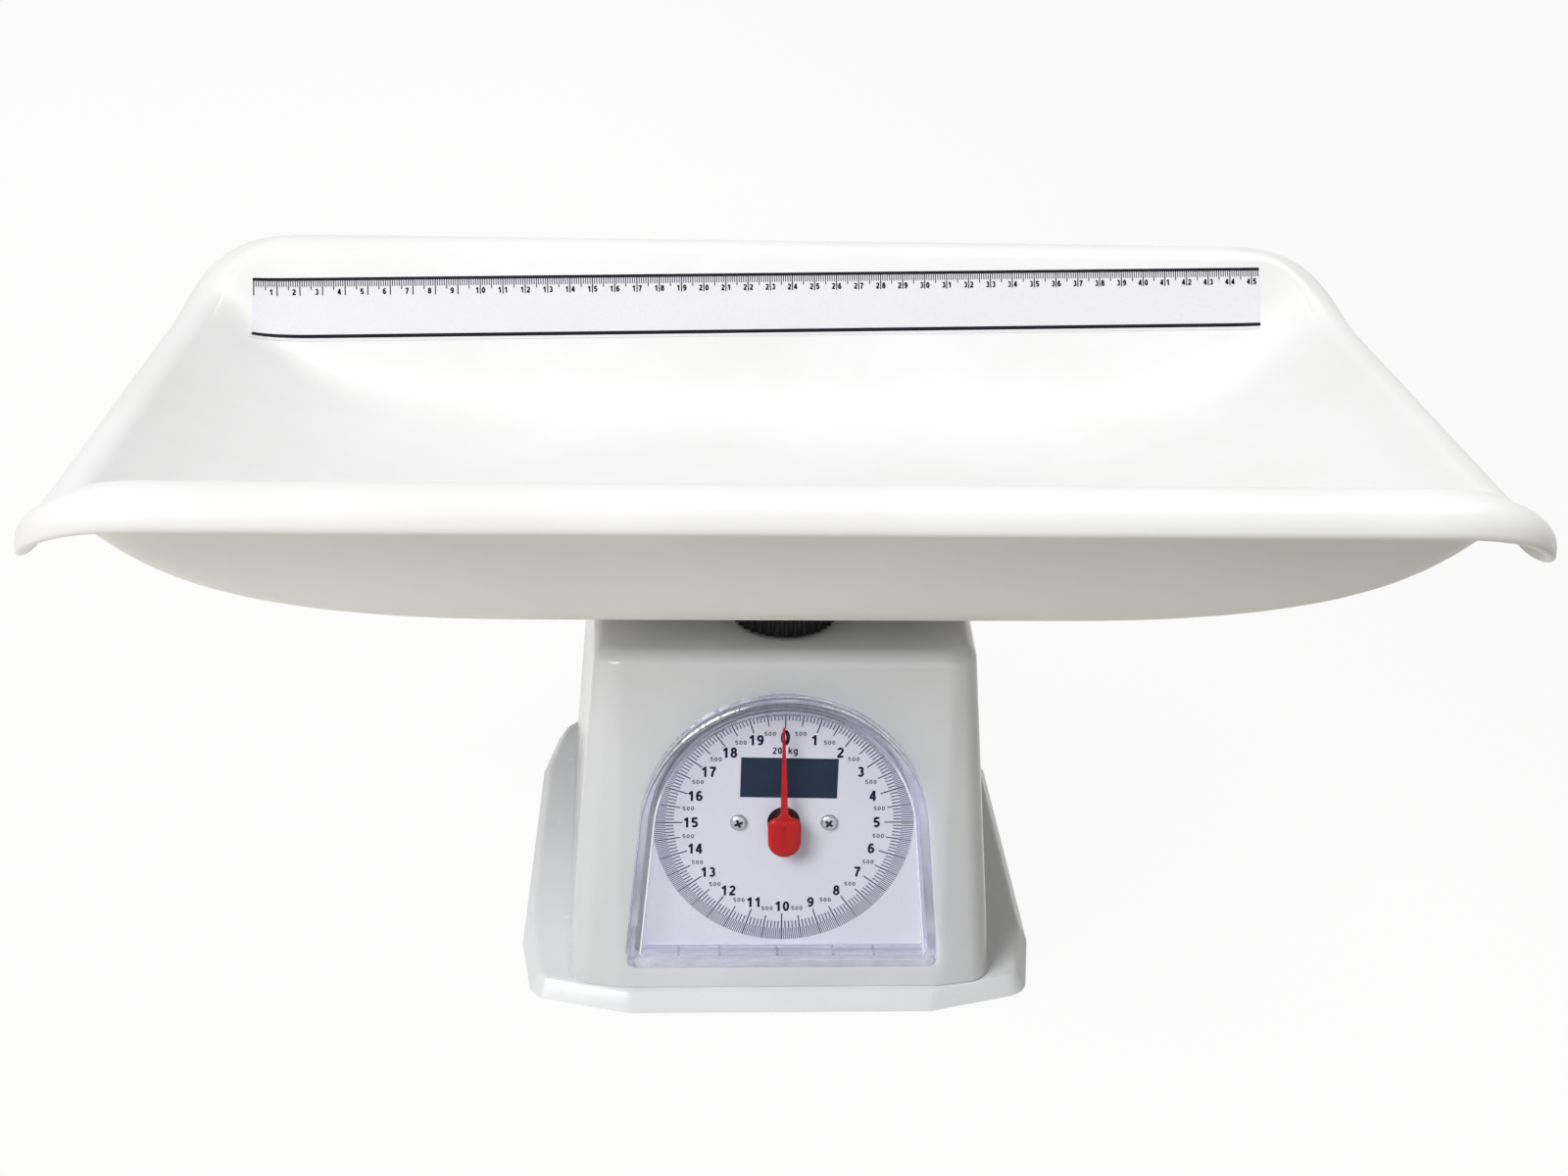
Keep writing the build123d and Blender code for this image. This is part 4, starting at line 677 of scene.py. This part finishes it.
dialFace = {"lean": 8.0, "y": -87.8, "z": 79.0}
faceLean = math.radians(dialFace["lean"])
facePlane = Matrix(((1, 0, 0, 0),
                    (0, math.sin(faceLean), -math.cos(faceLean), dialFace["y"]),
                    (0, math.cos(faceLean), math.sin(faceLean), dialFace["z"]),
                    (0, 0, 0, 1)))


def onFace(rings, depth=0.0):  # rings of points, moved from the face's own plane to the scene
    return [[(facePlane @ Vector((x, y, z + depth))) * mm for x, y, z in ring] for ring in rings]


dial = {
    "radius": 50.5, "cardLevel": -2.6, "lift": 0.04, "kilograms": 20,
    "fine": (0.905, 1.0, 0.36), "hundred": (0.842, 0.905, 0.5),  # from, to (shares of the radius) and width
    "half": (0.80, 1.0, 0.42), "whole": (0.775, 1.0, 0.46),
    "number": (4.25,), "halfNumber": (1.8, 1.15, 0.17, 0.78), "zero": (6.2, 0.85, 0.27),  # as for lettering
    "capacity": (2.85, 0.95, 0.19), "numberAt": 0.714, "halfAt": 0.74, "zeroAt": 0.70, "capacityAt": 30.0,
    "plate": (37.5, 16.6), "plateFoot": 10.3, "plateAside": 1.8, "plateTurn": -1.0}


def spotOnDial(kilograms, share):  # clockwise from the top
    turn, radius = math.tau * (kilograms / dial["kilograms"]), dial["radius"] * share
    return radius * math.sin(turn), radius * math.cos(turn)


fineInk, hundredInk, longInk, numberInk, halfInk, plateInk = (Print() for _ in range(6))
for ink, perKilogram, span in ((fineInk, 20, "fine"), (hundredInk, 10, "hundred"), (longInk, 2, "half"),
                               (longInk, 1, "whole")):
    nearest, farthest, width = dial[span]
    ink.add(*runTree(ringTicks, {
        "Count": perKilogram * dial["kilograms"], "Radius": dial["radius"] * (nearest + farthest) / 2,
        "Mark Width": width, "Mark Length": dial["radius"] * (farthest - nearest), "Material": inkPale}))
for number in range(1, dial["kilograms"]):
    numberInk.add(*lettering(str(number), *dial["number"]), *spotOnDial(number, dial["numberAt"]))
for number in range(dial["kilograms"]):
    halfInk.add(*lettering("500", *dial["halfNumber"]), *spotOnDial(number + 0.5, dial["halfAt"]))
numberInk.add(*lettering("0", *dial["zero"]), 0.0, dial["radius"] * dial["zeroAt"])
numberInk.add(*lettering("20 kg", *dial["capacity"]), 0.0, dial["capacityAt"])
width, height = dial["plate"]
plateSpin = Matrix.Rotation(math.radians(dial["plateTurn"]), 3, "Z")
plate = [plateSpin @ Vector((x * width / 2, y * height / 2, 0)) for x, y in fourCorners]
plateInk.add(plate, [(0, 1, 2, 3)], dial["plateAside"], dial["plateFoot"] + height / 2)
for name, ink, colour, layer in (
        ("dialFineMarks", fineInk, inkPale, 1.0), ("dialHundredMarks", hundredInk, inkPale, 1.0),
        ("dialLongMarks", longInk, inkViolet, 1.5), ("dialNumbers", numberInk, inkNavy, 1.6),
        ("dialHalfNumbers", halfInk, inkGrey, 1.6), ("dialPlainPlate", plateInk, inkSlate, 1.0)):
    ink.finish(name, lambda p: onFace([[p]], dial["cardLevel"] + layer * dial["lift"])[0][0], colour, "base",
               "dial_card")
print("dial print:", sum(len(ink.faces) for ink in (fineInk, hundredInk, longInk, numberInk, halfInk)), "faces")

# Dial screws: pan heads with a cross recess, and their shanks through card and plate

crossScrew = {
    "x": 17.5, "turns": (22.0, -38.0), "recess": 1.15, "slotHalf": 0.5, "slotReach": 2.1, "slotFoot": 0.9,
    "slotOver": 0.3, "slotStep": 0.004,  # how much wider the second slot is, so that no two faces coincide
    "steps": 40,
    "profile": ((1.6, -3.4), (1.6, -0.05), (3.3, 0.0), (3.3, 0.35), (3.12, 0.85), (2.7, 1.25), (2.1, 1.55),
                (1.2, 1.75), (0.4, 1.8))}  # radius and height, from the shank's end to the top of the head


def crossSlot(middle, turn, quarter):  # one of the two tapered slots of the recess
    spin = Matrix.Rotation(math.radians(turn + 90 * quarter), 3, "Z")
    top = crossScrew["profile"][-1][1]
    half = crossScrew["slotHalf"] + crossScrew["slotStep"] * quarter
    rings = []
    for reach, level in ((crossScrew["slotFoot"], top - crossScrew["recess"]),
                         (crossScrew["slotReach"], top + crossScrew["slotOver"])):
        rings.append([spin @ Vector((x * reach, y * half, level)) + Vector((middle, 0, 0))
                      for x, y in fourCorners])
    return loft(onFace(rings, dial["cardLevel"]))


screwX = (-crossScrew["x"], crossScrew["x"])
heads = [loft(onFace(turned(crossScrew["profile"], (x, 0.0), crossScrew["steps"]), dial["cardLevel"]))
         for x in screwX]
dialScrews = makePiece("dialScrews", *joined(heads), zincSteel)
# the recess faces take the darker steel, which is painted shade in the slots
cutAway(dialScrews, [crossSlot(x, turn, quarter) for x, turn in zip(screwX, crossScrew["turns"])
                     for quarter in (0, 1)], recessPaintedShadeSteel)
finishPiece(dialScrews, "base", "zinc_steel", "dial_screws")

washer = {"section": section((1.4, 6.2), (-4.45, -3.9)), "steps": 48}
rings = onFace(turned(washer["section"], steps=washer["steps"]))
finishPiece(makePiece("pivotWasher", *closedLoft(rings), fibreWasher), "base", "black_plastic")
print("dial screws and washer:", len(dialScrews.data.polygons), "faces")

# Dial window

window = {
    "radius": 55.5, "drop": 57.4, "archDrop": 1.5, "flare": 5.6, "corner": 3.5, "depth": 9.0, "sheet": 1.6,
    "edge": 1.1, "edgeSteps": 5, "flange": 0.5, "flangeHeight": 0.9, "bevel": 0.3, "sheetBevel": 0.6,
    "spigot": 2.2, "inset": 3.0, "gap": 0.2, "archSteps": 160, "cornerSteps": 7}


def archSpot(radius, turn, depth=0.0):
    return Vector((radius * math.cos(turn), radius * math.sin(turn) - window["archDrop"], depth))


def windowOutline(grow):
    flare, steps = math.radians(window["flare"]), window["archSteps"]
    radius, drop = window["radius"] + grow, window["drop"] + grow
    foot = radius / math.cos(flare) + (drop - window["archDrop"]) * math.tan(flare)
    spots = [archSpot(radius, flare + (math.pi - 2 * flare) * step / steps) for step in range(steps + 1)]
    left, right = Vector((-foot, -drop, 0)), Vector((foot, -drop, 0))
    corner = window["corner"] + grow / 2
    spots += rounded(left, spots[-1], right, corner, window["cornerSteps"])
    spots += rounded(right, left, spots[0], corner, window["cornerSteps"])
    return spots


def windowLoft(profile):  # profile: how far outside the window's outline, and how far out of the face
    return loft([onFace([windowOutline(grow)], depth)[0] for grow, depth in profile])


inner = -window["inset"] - window["gap"]
cavity, sheetFoot = inner - window["sheet"], window["depth"] - window["sheet"]
flange, flangeTop, bevel = window["flange"], window["flangeHeight"], window["bevel"]
profile = [(cavity - window["sheetBevel"], sheetFoot), (cavity, sheetFoot - window["sheetBevel"]),
           (cavity, -window["spigot"]), (inner, -window["spigot"]), (inner, 0.0), (flange, 0.0),
           (flange, flangeTop - bevel), (flange - bevel, flangeTop), (bevel, flangeTop),
           (0.0, flangeTop + bevel), *((-a, window["depth"] - b)
                                       for a, b in roundOver(window["edge"], window["edgeSteps"]))]
dialWindow = makePiece("dialWindow", *windowLoft(profile), windowStyrene, sharp=40)
dialWindow.data.materials.append(sheetStyrene)
for polygon in dialWindow.data.polygons:
    if len(polygon.vertices) > 4:  # the flat sheet
        polygon.material_index = 1
finishPiece(dialWindow, "base", "clear_plastic", "dial_window")

# Clear tabs inside the window's wall: a wide one at the top, clips beside it, weld marks along the foot
windowTabs = {
    "archSpans": ((84.5, 96.0), (97.5, 103.5), (118.5, 120.0), (121.5, 123.0)), "archSteps": 6,
    "arch": section((49.7, 50.6), (0.8, 7.2)), "footMarks": (-40.5, -24.5, -2.0, 20.0, 36.0), "markHalf": 0.45,
    "foot": section((51.7, 52.5), (0.8, 7.2))}
tabs, steps = [], windowTabs["archSteps"]
for start, end in windowTabs["archSpans"]:
    turns = [math.radians(start + (end - start) * step / steps) for step in range(steps + 1)]
    tabs.append([[archSpot(radius, turn, depth) for radius, depth in windowTabs["arch"]] for turn in turns])
for x in windowTabs["footMarks"]:
    ends = (x - windowTabs["markHalf"], x + windowTabs["markHalf"])
    tabs.append([[Vector((end, -drop, depth)) for drop, depth in windowTabs["foot"]] for end in ends])
tabs = [loft(onFace(rings)) for rings in tabs]
finishPiece(makePiece("windowTabs", *joined(tabs), windowStyrene, sharp=30), "base", "clear_plastic")
print("dial window:", len(dialWindow.data.polygons), "faces")

# Pointer, on its shaft; it stands a little before the zero, as an unloaded scale's does

pointer = {
    "needle": 41.8, "root": 1.45, "tip": 0.42, "tailHalf": 6.4, "tailLength": 11.7, "tailSteps": 10,
    "shoulder": 4.4, "shoulderRound": 3.2, "shoulderSteps": 6, "cheek": -5, "flare": 2.6, "flareSteps": 5,
    "level": 3.2, "thickness": 1.0, "edge": 0.3, "edgeScale": (0.96, 0.995), "crown": 1.1, "crownInset": 0.2,
    "crownReach": 3.6, "crownSink": 0.1, "crownSteps": 6, "turn": 1.3}
pointerSpin = Matrix.Rotation(math.radians(pointer["turn"]), 3, "Z")


def pointerOutline(inset, needle=()):  # a shield-shaped tail, clockwise, after the needle's right side
    reach, top = pointer["tailHalf"] - inset, pointer["shoulder"] - inset
    foot = pointer["tailHalf"] - pointer["tailLength"]
    shoulder, cheek = Vector((reach, top, 0)), Vector((reach, pointer["cheek"], 0))
    right = [*needle, *rounded(shoulder, Vector((0, top, 0)), cheek, pointer["shoulderRound"],
                               pointer["shoulderSteps"])]
    right += [Vector((reach * math.cos(turn), foot - reach * math.sin(turn), 0))
              for turn in quarterTurn(pointer["tailSteps"])[:-1]]
    return right + [Vector((0, foot - reach, 0))] + [Vector((-p.x, p.y, 0)) for p in reversed(right)]


def pointerRing(outline, depth):
    return onFace([[pointerSpin @ point for point in outline]], depth)[0]


root, shoulder, flare = pointer["root"], pointer["shoulder"], pointer["flare"]
needle = [Vector((pointer["tip"], pointer["needle"], 0))]
needle += [Vector((root + a, shoulder + b, 0)) for a, b in roundOver(flare, pointer["flareSteps"])]
outline = pointerOutline(0, needle)
front, inset = pointer["level"] + pointer["thickness"], pointer["crownInset"]
narrow, short = pointer["edgeScale"]
blade = [pointerRing(outline, depth) for depth in (pointer["level"], front - pointer["edge"])]
blade.append(pointerRing([Vector((p.x * narrow, p.y * short, 0)) for p in outline], front))
crown = [pointerRing(pointerOutline(inset), pointer["level"] + pointer["crownSink"])]
crown += [pointerRing(pointerOutline(inset + pointer["crownReach"] * (1 - math.cos(turn))),
                      front + pointer["crown"] * math.sin(turn)) for turn in quarterTurn(pointer["crownSteps"])]
pointerArm = makePiece("pointerArm", *joined([loft(blade), loft(crown)]), pointerAbs, sharp=50)
finishPiece(pointerArm, "pointer_shaft", "pointer_red", "pointer")
print("pointer:", len(pointerArm.data.polygons), "faces")

# Housing: a hollow box that tapers upwards, its face leaning back, with softly rounded corners

housing = {
    "foot": 9.0, "top": 148.0, "halfFoot": 84.5, "halfTop": 72.5, "flare": 6.5, "backFoot": 102.0,
    "backTop": 83.0, "wall": 2.6, "corner": 11.0, "crease": 63.5, "creaseRound": 12.0, "setback": 4.0,
    "edge": 5.5, "footEdge": 0.6, "creaseSteps": 4, "cornerSteps": 10, "edgeSteps": 9, "levels": 5,
    "support": 2.0, "leastCorner": 1.0, "columnHalf": 15.0, "columnCorner": 2.0, "spindleHole": 4.5,
    "spindleY": -46.0, "windowInset": 3.0, "screwY": (-56.0, 58.0), "bossRadius": 4.0, "bossBore": 1.75,
    "bossHeight": 18.0, "bossBite": 0.8, "bossSteps": 24}


def faceAt(level):  # how far forward the leaning face stands
    return dialFace["y"] + (level - dialFace["z"]) * math.tan(faceLean)


def housingSize(level):  # half the width at the front, and how far the back stands
    share = (level - housing["foot"]) / (housing["top"] - housing["foot"])
    return (housing["halfFoot"] + share * (housing["halfTop"] - housing["halfFoot"]),
            housing["backFoot"] + share * (housing["backTop"] - housing["backFoot"]))


def mirrored(right, level):  # a level outline's corners from those of its right side
    return [Vector((x, y, level)) for x, y in right + [(-x, y) for x, y in reversed(right)]]


def housingRing(level, inset):
    half, back = (size - inset for size in housingSize(level))
    frontY = faceAt(level) + inset
    corners = mirrored([(housing["crease"] - inset, frontY), (half, frontY + housing["setback"]),
                        (half + housing["flare"], back)], level)
    radius = max(housing["corner"] - inset, housing["leastCorner"])
    radii = [housing["creaseRound"], radius, radius]
    steps = [housing["creaseSteps"], housing["cornerSteps"], housing["cornerSteps"]]
    return supported(roundedRuns(corners, radii + radii[::-1], steps + steps[::-1]), housing["support"])


def housingShell(foot, top, inset):  # the outer form, or with an inset the room inside it
    edge, lip = housing["edge"] - inset, housing["footEdge"]
    levels = [(foot, inset)] if inset else [(foot, lip), (foot + lip, inset), (foot + 2 * lip, inset)]
    low, high = foot + 2 * housing["support"], top - edge - housing["support"]
    levels += [(low + (high - low) * i / housing["levels"], inset) for i in range(housing["levels"] + 1)]
    levels += [(top - down, inset + inwards) for inwards, down in roundOver(edge, housing["edgeSteps"])]
    levels.append((top, inset + edge + housing["support"]))
    return loft(scaled([housingRing(level, grow) for level, grow in levels]))


def prism(outline, low, high):  # a shell with its axis up
    return loft(scaled([[Vector((p.x, p.y, level)) for p in outline] for level in (low, high)]))


def roundedBox(halfX, halfY, radius, middleY=0.0, steps=4):
    corners = [Vector((x * halfX, middleY + y * halfY, 0)) for x, y in (*fourCorners[1:], fourCorners[0])]
    return [point for run in roundedRuns(corners, [radius] * 4, [steps] * 4) for point in run]


def bossX(y):  # a boss stands so far out that its top meets the housing's side
    top = housing["foot"] + housing["bossHeight"]
    half, back = housingSize(top)
    cheek = faceAt(top) + housing["setback"]
    flare = housing["flare"] * (y - cheek) / (back - cheek)
    return half + flare - housing["wall"] - housing["bossRadius"] + housing["bossBite"]


wall, foot, top = housing["wall"], housing["foot"], housing["top"]
shell = makePiece("housingShell", *housingShell(foot, top, 0), housingAbs)
roofHoles = (roundedBox(housing["columnHalf"], housing["columnHalf"], housing["columnCorner"]),
             circle(housing["spindleHole"], 0, (0, housing["spindleY"])))
cutAway(shell, [housingShell(foot - overCut, top - wall, wall),
                windowLoft([(-housing["windowInset"], depth) for depth in (-2 * wall, 2 * wall)]),
                *(prism(outline, top - 2 * wall, top + wall) for outline in roofHoles)])
finishPiece(shell, "base", "housing_plastic", "housing")
screwSpots = [(side * bossX(y), y) for side in (-1, 1) for y in housing["screwY"]]
bossSection = section((housing["bossBore"], housing["bossRadius"]), (foot, foot + housing["bossHeight"]))
bosses = [closedLoft(scaled(turned(bossSection, spot, housing["bossSteps"]))) for spot in screwSpots]
finishPiece(makePiece("housingBosses", *joined(bosses), housingAbs), "base", "housing_plastic")
print("housing:", len(shell.data.polygons), "faces")

# Plinth: a flat ledge with a sloping skirt, hollow underneath

plinth = {
    "foot": 1.5, "ledge": 9.0, "halfX": 105.4, "front": -104.04, "back": 122.0, "skirt": 5.5, "frontHalf": 60.0,
    "backHalf": 88.0, "cheekIn": 5.9, "cheekFront": 11.0, "cheekBack": 9.0, "taper": 35.0, "corner": 10.0,
    "leastCorner": 1.0, "cornerSteps": 6, "wall": 2.5, "edge": 2.5, "edgeSteps": 7, "support": 0.8,
    "footEdge": ((0.0, 0.35), (0.35, 0.15), (1.0, 0.55)), "ledgeSupport": 1.5, "ledgeReach": 14.0,
    "footX": 80.0, "footY": (-78.04, 96.0), "footHole": 2.0, "screwHole": 1.95, "holeSteps": 20}


def plinthRing(level, inset):
    frontY, backY = plinth["front"] + inset, plinth["back"] - inset
    cheek, half = plinth["halfX"] - plinth["cheekIn"] - inset, plinth["halfX"] - inset
    cheekFront, cheekBack = frontY + plinth["cheekFront"], backY - plinth["cheekBack"]
    right = [(plinth["frontHalf"], frontY), (cheek, cheekFront), (half, cheekFront + plinth["taper"]),
             (half, cheekBack - plinth["taper"]), (cheek, cheekBack), (plinth["backHalf"], backY)]
    radius = max(plinth["corner"] - inset, plinth["leastCorner"])
    runs = roundedRuns(mirrored(right, level), [radius] * 12, [plinth["cornerSteps"]] * 12)
    return supported(runs, plinth["support"])


ledge, skirt, edge = plinth["ledge"], plinth["skirt"], plinth["edge"]
rise, reach = ledge - plinth["foot"], plinth["ledgeReach"]
skirtTurn = math.atan(skirt / rise)
levels = [(plinth["foot"] + up, inset) for up, inset in plinth["footEdge"]]
for step in range(plinth["edgeSteps"] + 1):
    turn = skirtTurn + (math.pi / 2 - skirtTurn) * step / plinth["edgeSteps"]
    levels.append((ledge - edge * (1 - math.sin(turn)), skirt - edge * math.cos(turn)))
levels.append((ledge, skirt + plinth["ledgeSupport"]))
plinthShell = makePiece("plinthShell", *loft(scaled([plinthRing(*level) for level in levels])), plinthAbs)
ledgeFoot = ledge - plinth["wall"]
hollow = [(plinth["foot"] - overCut / 2, plinth["wall"]),
          (ledgeFoot, skirt * (ledgeFoot - plinth["foot"]) / rise + plinth["wall"])]
mouthFront, mouthBack = faceAt(housing["foot"]) + reach, housing["backFoot"] - reach
mouth = roundedBox(housing["halfFoot"] - reach, (mouthBack - mouthFront) / 2, housing["corner"],
                   (mouthFront + mouthBack) / 2)
holes = [(spot, plinth["screwHole"]) for spot in screwSpots]
holes += [((x, y), plinth["footHole"]) for x in (-plinth["footX"], plinth["footX"]) for y in plinth["footY"]]
outlines = [mouth] + [circle(radius, 0, spot, plinth["holeSteps"]) for spot, radius in holes]
cutAway(plinthShell, [loft(scaled([plinthRing(*level) for level in hollow]))]
        + [prism(outline, ledgeFoot - overCut, ledge + overCut) for outline in outlines])
finishPiece(plinthShell, "base", "plinth_plastic", "plinth")
print("plinth:", len(plinthShell.data.polygons), "faces")

# Zero wheel: a dished wheel whose rim carries upright grips, laid out by Geometry Nodes

wheel = {
    "y": -46.0, "foot": 149.2, "top": 156.7, "radius": 20.5, "core": 19.7, "bore": 3.02, "dish": 13.0,
    "dishDepth": 2.0, "dishEdge": 0.4, "dishSlope": 0.5, "collar": 6.0, "collarEdge": 0.3, "round": 1.0,
    "roundSteps": 4, "grips": 36, "gripRadius": 1.15, "steps": 96}


def layGrips(tree, given):
    ring = addNode(tree, "GeometryNodeMeshCircle", None,
                   {"Vertices": given["Count"], "Radius": given["Radius"]})
    grip = addNode(tree, "GeometryNodeMeshCylinder", {"Vertices": 10},
                   {"Radius": given["Grip Radius"], "Depth": given["Grip Height"]})
    return {"Points": ring.outputs["Mesh"], "Instance": grip.outputs["Mesh"]}


bore, core, dish, collar = wheel["bore"], wheel["core"], wheel["dish"], wheel["collar"]
low, high, dishEdge, edge = wheel["foot"], wheel["top"], wheel["dishEdge"], wheel["collarEdge"]
dishFloor, bend = high - wheel["dishDepth"], roundOver(wheel["round"], wheel["roundSteps"])
profile = [(bore, low), *((core - a, low + b) for a, b in reversed(bend)),
           *((core - a, high - b) for a, b in bend), (dish + dishEdge, high), (dish, high - dishEdge),
           (dish - wheel["dishSlope"], dishFloor), (collar + edge, dishFloor), (collar, high - edge),
           (collar - edge, high), (bore, high)]
body = closedLoft(scaled(turned(profile, (0, wheel["y"]), wheel["steps"])))
gripTree = repeatTree("wheelGrips", ("Radius", "Grip Radius", "Grip Height"), layGrips)
gripPoints, gripFaces = runTree(gripTree, {
    "Count": wheel["grips"], "Radius": wheel["radius"] - wheel["gripRadius"],
    "Grip Radius": wheel["gripRadius"], "Grip Height": high - low - wheel["round"], "Material": blackAbs})
gripMiddle = Vector((0, wheel["y"], (low + high) / 2))
grips = [(p + gripMiddle) * mm for p in gripPoints], gripFaces
zeroWheel = makePiece("zeroWheel", *joined([body, grips]), blackAbs, sharp=40)
finishPiece(zeroWheel, "zero_adjuster", "black_plastic", "zero_wheel")
print("zero wheel:", len(zeroWheel.data.polygons), "faces")

# Camera and lights

camera = {"place": (-38.0, -731.51, 496.5), "pitch": 26.07, "yaw": -3.15, "roll": 1.61,
          "lens": 45.27, "sensor": 36.0, "clip": (0.01, 100.0)}
pitch, yaw, roll = (math.radians(camera[name]) for name in ("pitch", "yaw", "roll"))
forward = Vector((-math.sin(yaw) * math.cos(pitch), math.cos(yaw) * math.cos(pitch), -math.sin(pitch)))
levelRight = Vector((math.cos(yaw), math.sin(yaw), 0))
levelUp = levelRight.cross(forward)
right = levelRight * math.cos(roll) + levelUp * math.sin(roll)
upward = levelUp * math.cos(roll) - levelRight * math.sin(roll)
lens = bpy.data.cameras.new("camera")
lens.lens, lens.sensor_width = camera["lens"], camera["sensor"]
lens.clip_start, lens.clip_end = camera["clip"]
eye = bpy.data.objects.new("camera", lens)
eye.matrix_world = (Matrix.Translation(Vector(camera["place"]) * mm)
                    @ Matrix((right, upward, -forward)).transposed().to_4x4())
bpy.context.scene.collection.objects.link(eye)
bpy.context.scene.camera = eye

lamps = {  # place and aim in metres, size in metres, watts
    "windowLight": ((-1.4, -1.4, 1.7), (0, 0, 0.12), 1.2, 38.0),
    "roomFill": ((0.6, -1.8, 0.6), (0, 0, 0.1), 1.4, 2.5),
    "ceiling": ((0.7, -0.1, 2.1), (0, 0, 0.1), 1.3, 24.0)}
for name, (place, aim, size, power) in lamps.items():
    lamp = bpy.data.lights.new(name, "AREA")
    lamp.size, lamp.energy = size, power
    holder = bpy.data.objects.new(name, lamp)
    holder.location = place
    holder.rotation_mode = "QUATERNION"
    holder.rotation_quaternion = (Vector(aim) - Vector(place)).to_track_quat("-Z", "Y")
    bpy.context.scene.collection.objects.link(holder)


# 1 where the backdrop is seen, by the camera, in gloss or through glass, and 0 for its light on matt surfaces
def backdropSeen(tree):
    path = addNode(tree, "ShaderNodeLightPath").outputs
    seen = path["Is Camera Ray"]
    for ray in ("Is Glossy Ray", "Is Transmission Ray"):
        seen = addNode(tree, "ShaderNodeMath", {"operation": "MAXIMUM"}, {0: seen, 1: path[ray]}).outputs[0]
    direct = addNode(tree, "ShaderNodeMath", {"operation": "LESS_THAN", 1: 0.5}, {0: path["Diffuse Depth"]})
    both = addNode(tree, "ShaderNodeMath", {"operation": "MULTIPLY"}, {0: seen, 1: direct.outputs[0]})
    return both.outputs[0]


world = bpy.data.worlds.new("studio")
bpy.context.scene.world = world
world.use_nodes = True
tree = world.node_tree
tree.nodes.clear()
strength = addNode(tree, "ShaderNodeMapRange", {"To Min": 0.1, "To Max": 1.0}, {"Value": backdropSeen(tree)})
sky = addNode(tree, "ShaderNodeBackground", {"Color": linear("#FFFFFF")},
              {"Strength": strength.outputs["Result"]})
addNode(tree, "ShaderNodeOutputWorld", None, {"Surface": sky.outputs["Background"]})

# Floor: matt paper, nearly all white as a backdrop; the light it throws on matt surfaces carries a painted
# bounce tint, warm on the left and dark on the right, which paints shade on the tray's underside and the
# object's right side
floorSize = 12  # metres from the middle to a side
material, tree, place = startMaterial("floorWhiteWithPaintedBounce")
share = addNode(tree, "ShaderNodeMath", {"operation": "MULTIPLY", 1: 0.95}, {0: backdropSeen(tree)})
across = addNode(tree, "ShaderNodeSeparateXYZ", None, {"Vector": place})
paintedShadeAcross = addNode(tree, "ShaderNodeMapRange", {"From Min": -0.2, "From Max": 0.5}, {"Value": across.outputs["X"]})
# painted shade: the floor's bounce colour goes from warm pale to dark olive towards the right
paintedBounceShade = addNode(tree, "ShaderNodeMix", {"data_type": "RGBA", 6: linear("#F1ECE2"), 7: linear("#858170")},
               {0: paintedShadeAcross.outputs["Result"]})
paper = addNode(tree, "ShaderNodeBsdfDiffuse", None, {"Color": paintedBounceShade.outputs[2]})
glow = addNode(tree, "ShaderNodeEmission", {"Color": linear("#FFFFFF"), "Strength": 1.0})
mix = addNode(tree, "ShaderNodeMixShader", None,
              {0: share.outputs[0], 1: paper.outputs["BSDF"], 2: glow.outputs["Emission"]})
addNode(tree, "ShaderNodeOutputMaterial", None, {"Surface": mix.outputs["Shader"]})
corners = [Vector((x * floorSize, y * floorSize, 0)) for x, y in fourCorners]
floor = makePiece("floor", corners, [(0, 1, 2, 3)], material)
floor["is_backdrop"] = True

bpy.context.scene.view_settings.view_transform = "Standard"

low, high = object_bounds()
